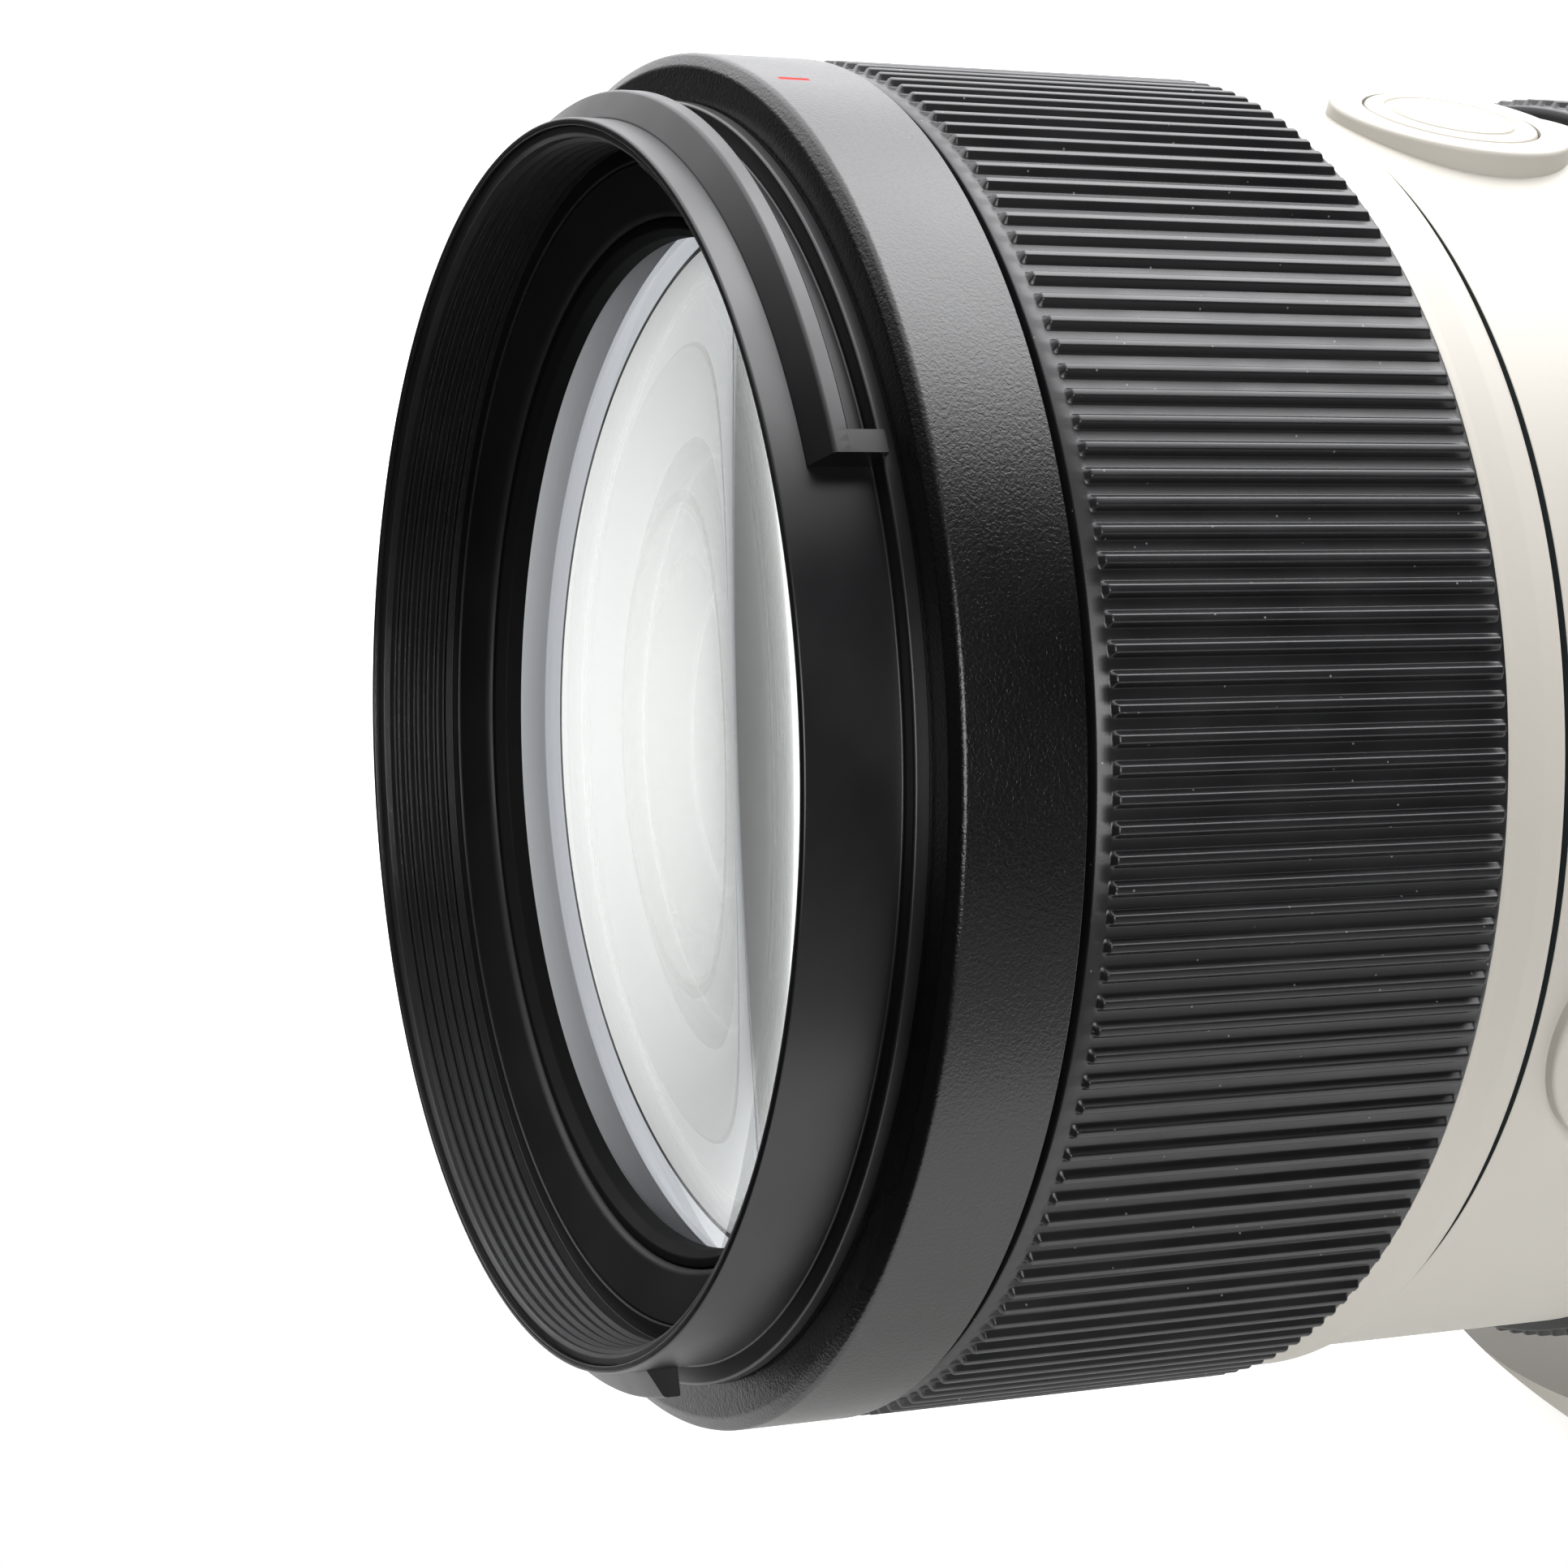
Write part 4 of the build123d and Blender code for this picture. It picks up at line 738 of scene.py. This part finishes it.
def painted_line(name, width, length, y, angle, radius, body):
    """Short stroke along the barrel, printed on it."""
    turn = degrees(width / radius)
    outline = [(radius - 0.02, y - length / 2, 0), (radius + 0.02, y - length / 2, 0),
               (radius + 0.02, y + length / 2, 0), (radius - 0.02, y + length / 2, 0)]
    inked(placed(name, turned_mesh(outline, steps=6, start=angle - turn / 2, sweep=turn)), body)


for figures, angle in SCALE_MARKS:
    printed(f"focal_length_{figures}", figures, FIGURES_SIZE, FIGURES_Y, angle, BAND_RADIUS, "zoom_ring")
    painted_line(f"focal_line_{figures}", 0.4, 1.5, -93.2, angle, BAND_RADIUS, "zoom_ring")

# Rear barrel: the longest casting, in the same enamel, with the index line for the scale. Its narrow
# tail is the journal that the tripod collar turns on.
REAR_BARREL_RADIUS = 42.8
rear_barrel = smoothed(placed("rear_barrel_shell", turned_mesh([
    (40.85, -91.6, 0), (REAR_BARREL_RADIUS, -91.6, 0.18), (REAR_BARREL_RADIUS, -54.4, 0.15),
    (41.9, -54.4, 0), (41.9, -35.6, 0), (40.85, -35.6, 0)], steps=360)))
stands_for(rear_barrel, "rear_barrel")
rear_barrel.data.materials.append(white_enamel)
painted_line("index_line", 0.5, 2.4, -89.8, 0.0, REAR_BARREL_RADIUS, "barrel")

# Switch panel and its four slides: the panel is a thin enamelled cover clipped to the left side, the
# slides are black acetal with a ridge for the thumb.


def softened(node, edge, surface, segments=2):
    """Copy of a CAD node with merged faces and edges broken by a width in mm."""
    mesh = bmesh.new()
    mesh.from_mesh(frame["nodes"][node].data)
    bmesh.ops.remove_doubles(mesh, verts=mesh.verts, dist=0.001 * MM)
    bmesh.ops.dissolve_limit(mesh, angle_limit=radians(0.2), verts=mesh.verts, edges=mesh.edges)
    piece = placed(f"{node}_piece", mesh)
    piece.data.materials.clear()
    piece.data.materials.append(surface)
    smoothed(piece, edge=edge, segments=segments)
    stands_for(piece, node)


black_acetal = moulded_surface(
    "moulded_black_acetal", "#161618", "#1e1e20", 0.15, 0.0015, (0.3, 0.38), {"IOR": 1.48})
softened("switch_panel", 0.15, white_enamel)
for name in ("focus_mode_switch", "focus_range_switch", "stabiliser_switch", "stabiliser_mode_switch"):
    softened(name, 0.12, black_acetal)

# Tripod collar with its clamp knob and foot: machined castings in the same white enamel, with a
# knurled satin black knob. Four black socket screws hold the foot, and two threaded steel bushes
# take tripod screws.
softened("tripod_collar", 0.3, white_enamel, segments=3)
softened("tripod_foot", 1.8, white_enamel, segments=5)
softened("collar_knob", 0.12, satin_paint)
screw_black = turned_surface(
    "black_oxide_steel", "#1c1c1e", "#27272a", 0.2, 0.001, (0.3, 0.42), {"IOR": 2.4})
bush_steel = turned_surface(
    "turned_stainless_steel", "#8d8e90", "#a3a4a6", 0.2, 0.002, (0.25, 0.35), {"Metallic": 1.0})
softened("foot_screws", 0.12, screw_black)
softened("foot_inserts", 0.2, bush_steel)

# Rear cone, seal, bayonet, contacts and baffle: the cone narrows to the camera, a rubber lip seals
# the joint, and the bayonet is turned brass with a hard chrome plate, bright with fine rings. The
# contacts are gold plated.
MOUNT_SCREW_CIRCLE = 27.3
rear_cone = placed("rear_cone_shell", turned_mesh([
    (40.85, -35.6, 0), (42.8, -35.6, 0.18), (42.8, -31.0, 0.4), (35.5, -14.0, 0.4), (35.5, -7.2, 0.15),
    (34.0, -5.7, 0.15), (34.0, -3.2, 0.1), (30.05, -3.2, 0), (30.05, -6.5, 0), (24.0, -6.5, 0),
    (24.0, -10.5, 0), (33.0, -10.5, 0), (33.0, -14.0, 0), (39.2, -26.6, 0), (39.2, -27.1, 0),
    (40.85, -27.1, 0)], steps=320))
for number in range(4):
    hole = placed("hole", rod_mesh(plain_rod(0.95, -1.0, 5.0), 0, y=0, steps=24))
    round_the_mount = Matrix.Rotation(radians(45 + 90 * number), 4, "Y")
    out_to_the_circle = Matrix.Translation((0, -6.0 * MM, MOUNT_SCREW_CIRCLE * MM))
    hole.data.transform(round_the_mount @ out_to_the_circle @ Matrix.Rotation(radians(90), 4, "X"))
    rear_cone = combined(rear_cone, hole, "DIFFERENCE")
smoothed(rear_cone)
stands_for(rear_cone, "rear_cone")
rear_cone.data.materials.append(white_enamel)
seal_rubber = moulded_surface(
    "black_silicone_seal", "#19191b", "#222224", 0.2, 0.003, (0.5, 0.6), {"IOR": 1.42})
gasket = smoothed(placed("mount_seal", turned_mesh([
    (31.55, -3.0, 0), (33.55, -3.0, 0.1), (33.05, 0.6, 0.25), (32.0, 0.6, 0.25), (31.55, 0.0, 0)])))
stands_for(gasket, "mount_gasket")
gasket.data.materials.append(seal_rubber)
hard_chrome = turned_surface(
    "hard_chrome_on_brass", "#b6b7ba", "#c9cacc", 0.06, 0.0006, (0.16, 0.24), {"Metallic": 1.0})
softened("lens_mount", 0.1, hard_chrome)
softened("mount_screws", 0.08, hard_chrome)
softened("contact_block", 0.15, black_acetal)
gold_plate = turned_surface(
    "gold_plated_contacts", "#c99a3e", "#e0b55a", 0.1, 0.0005, (0.14, 0.2), {"Metallic": 1.0})
softened("contact_pins", 0.1, gold_plate)
softened("rear_baffle", 0.1, bore_black)

# Inside the barrel: carriages, cams, iris, stabiliser and focusing drive. They are machined or
# stamped, kept matt black or bare where nothing sees them, and keep the CAD shapes.
bare_aluminium = turned_surface(
    "machined_aluminium", "#9fa1a4", "#b4b6b8", 0.12, 0.001, (0.28, 0.36), {"Metallic": 1.0})
drawn_steel = moulded_surface(
    "ground_steel", "#8f9194", "#a4a6a8", 0.05, 0.0004, (0.2, 0.28), {"Metallic": 1.0})
iris_coat = moulded_surface(
    "dry_film_on_blade_steel", "#1d1d20", "#2a2a2d", 0.08, 0.0008, (0.42, 0.5), {"IOR": 1.5})
inner_glass = glass_surface("inner_coated_glass", "#f4f8f6", 1.6)
inside = {
    bore_black: ("main_barrel", "guide_tube", "iris_housing", "stabiliser_frame", "rear_cell",
                 "focus_motor"),
    bare_aluminium: ("cam_sleeve", "focus_ring_sleeve", "zoom_carriage", "focus_carriage"),
    black_acetal: ("stabiliser_slider", "stabiliser_cell"),
    drawn_steel: ("focus_rods", "zoom_rollers", "iris_drive_ring"),
    iris_coat: tuple(f"iris_blade_{number}" for number in range(1, 8)),
    inner_glass: ("zoom_lens", "stabiliser_lens", "focus_lens", "rear_element"),
}
for surface, nodes in inside.items():
    for node in nodes:
        frame["nodes"][node].data.materials.clear()
        frame["nodes"][node].data.materials.append(surface)
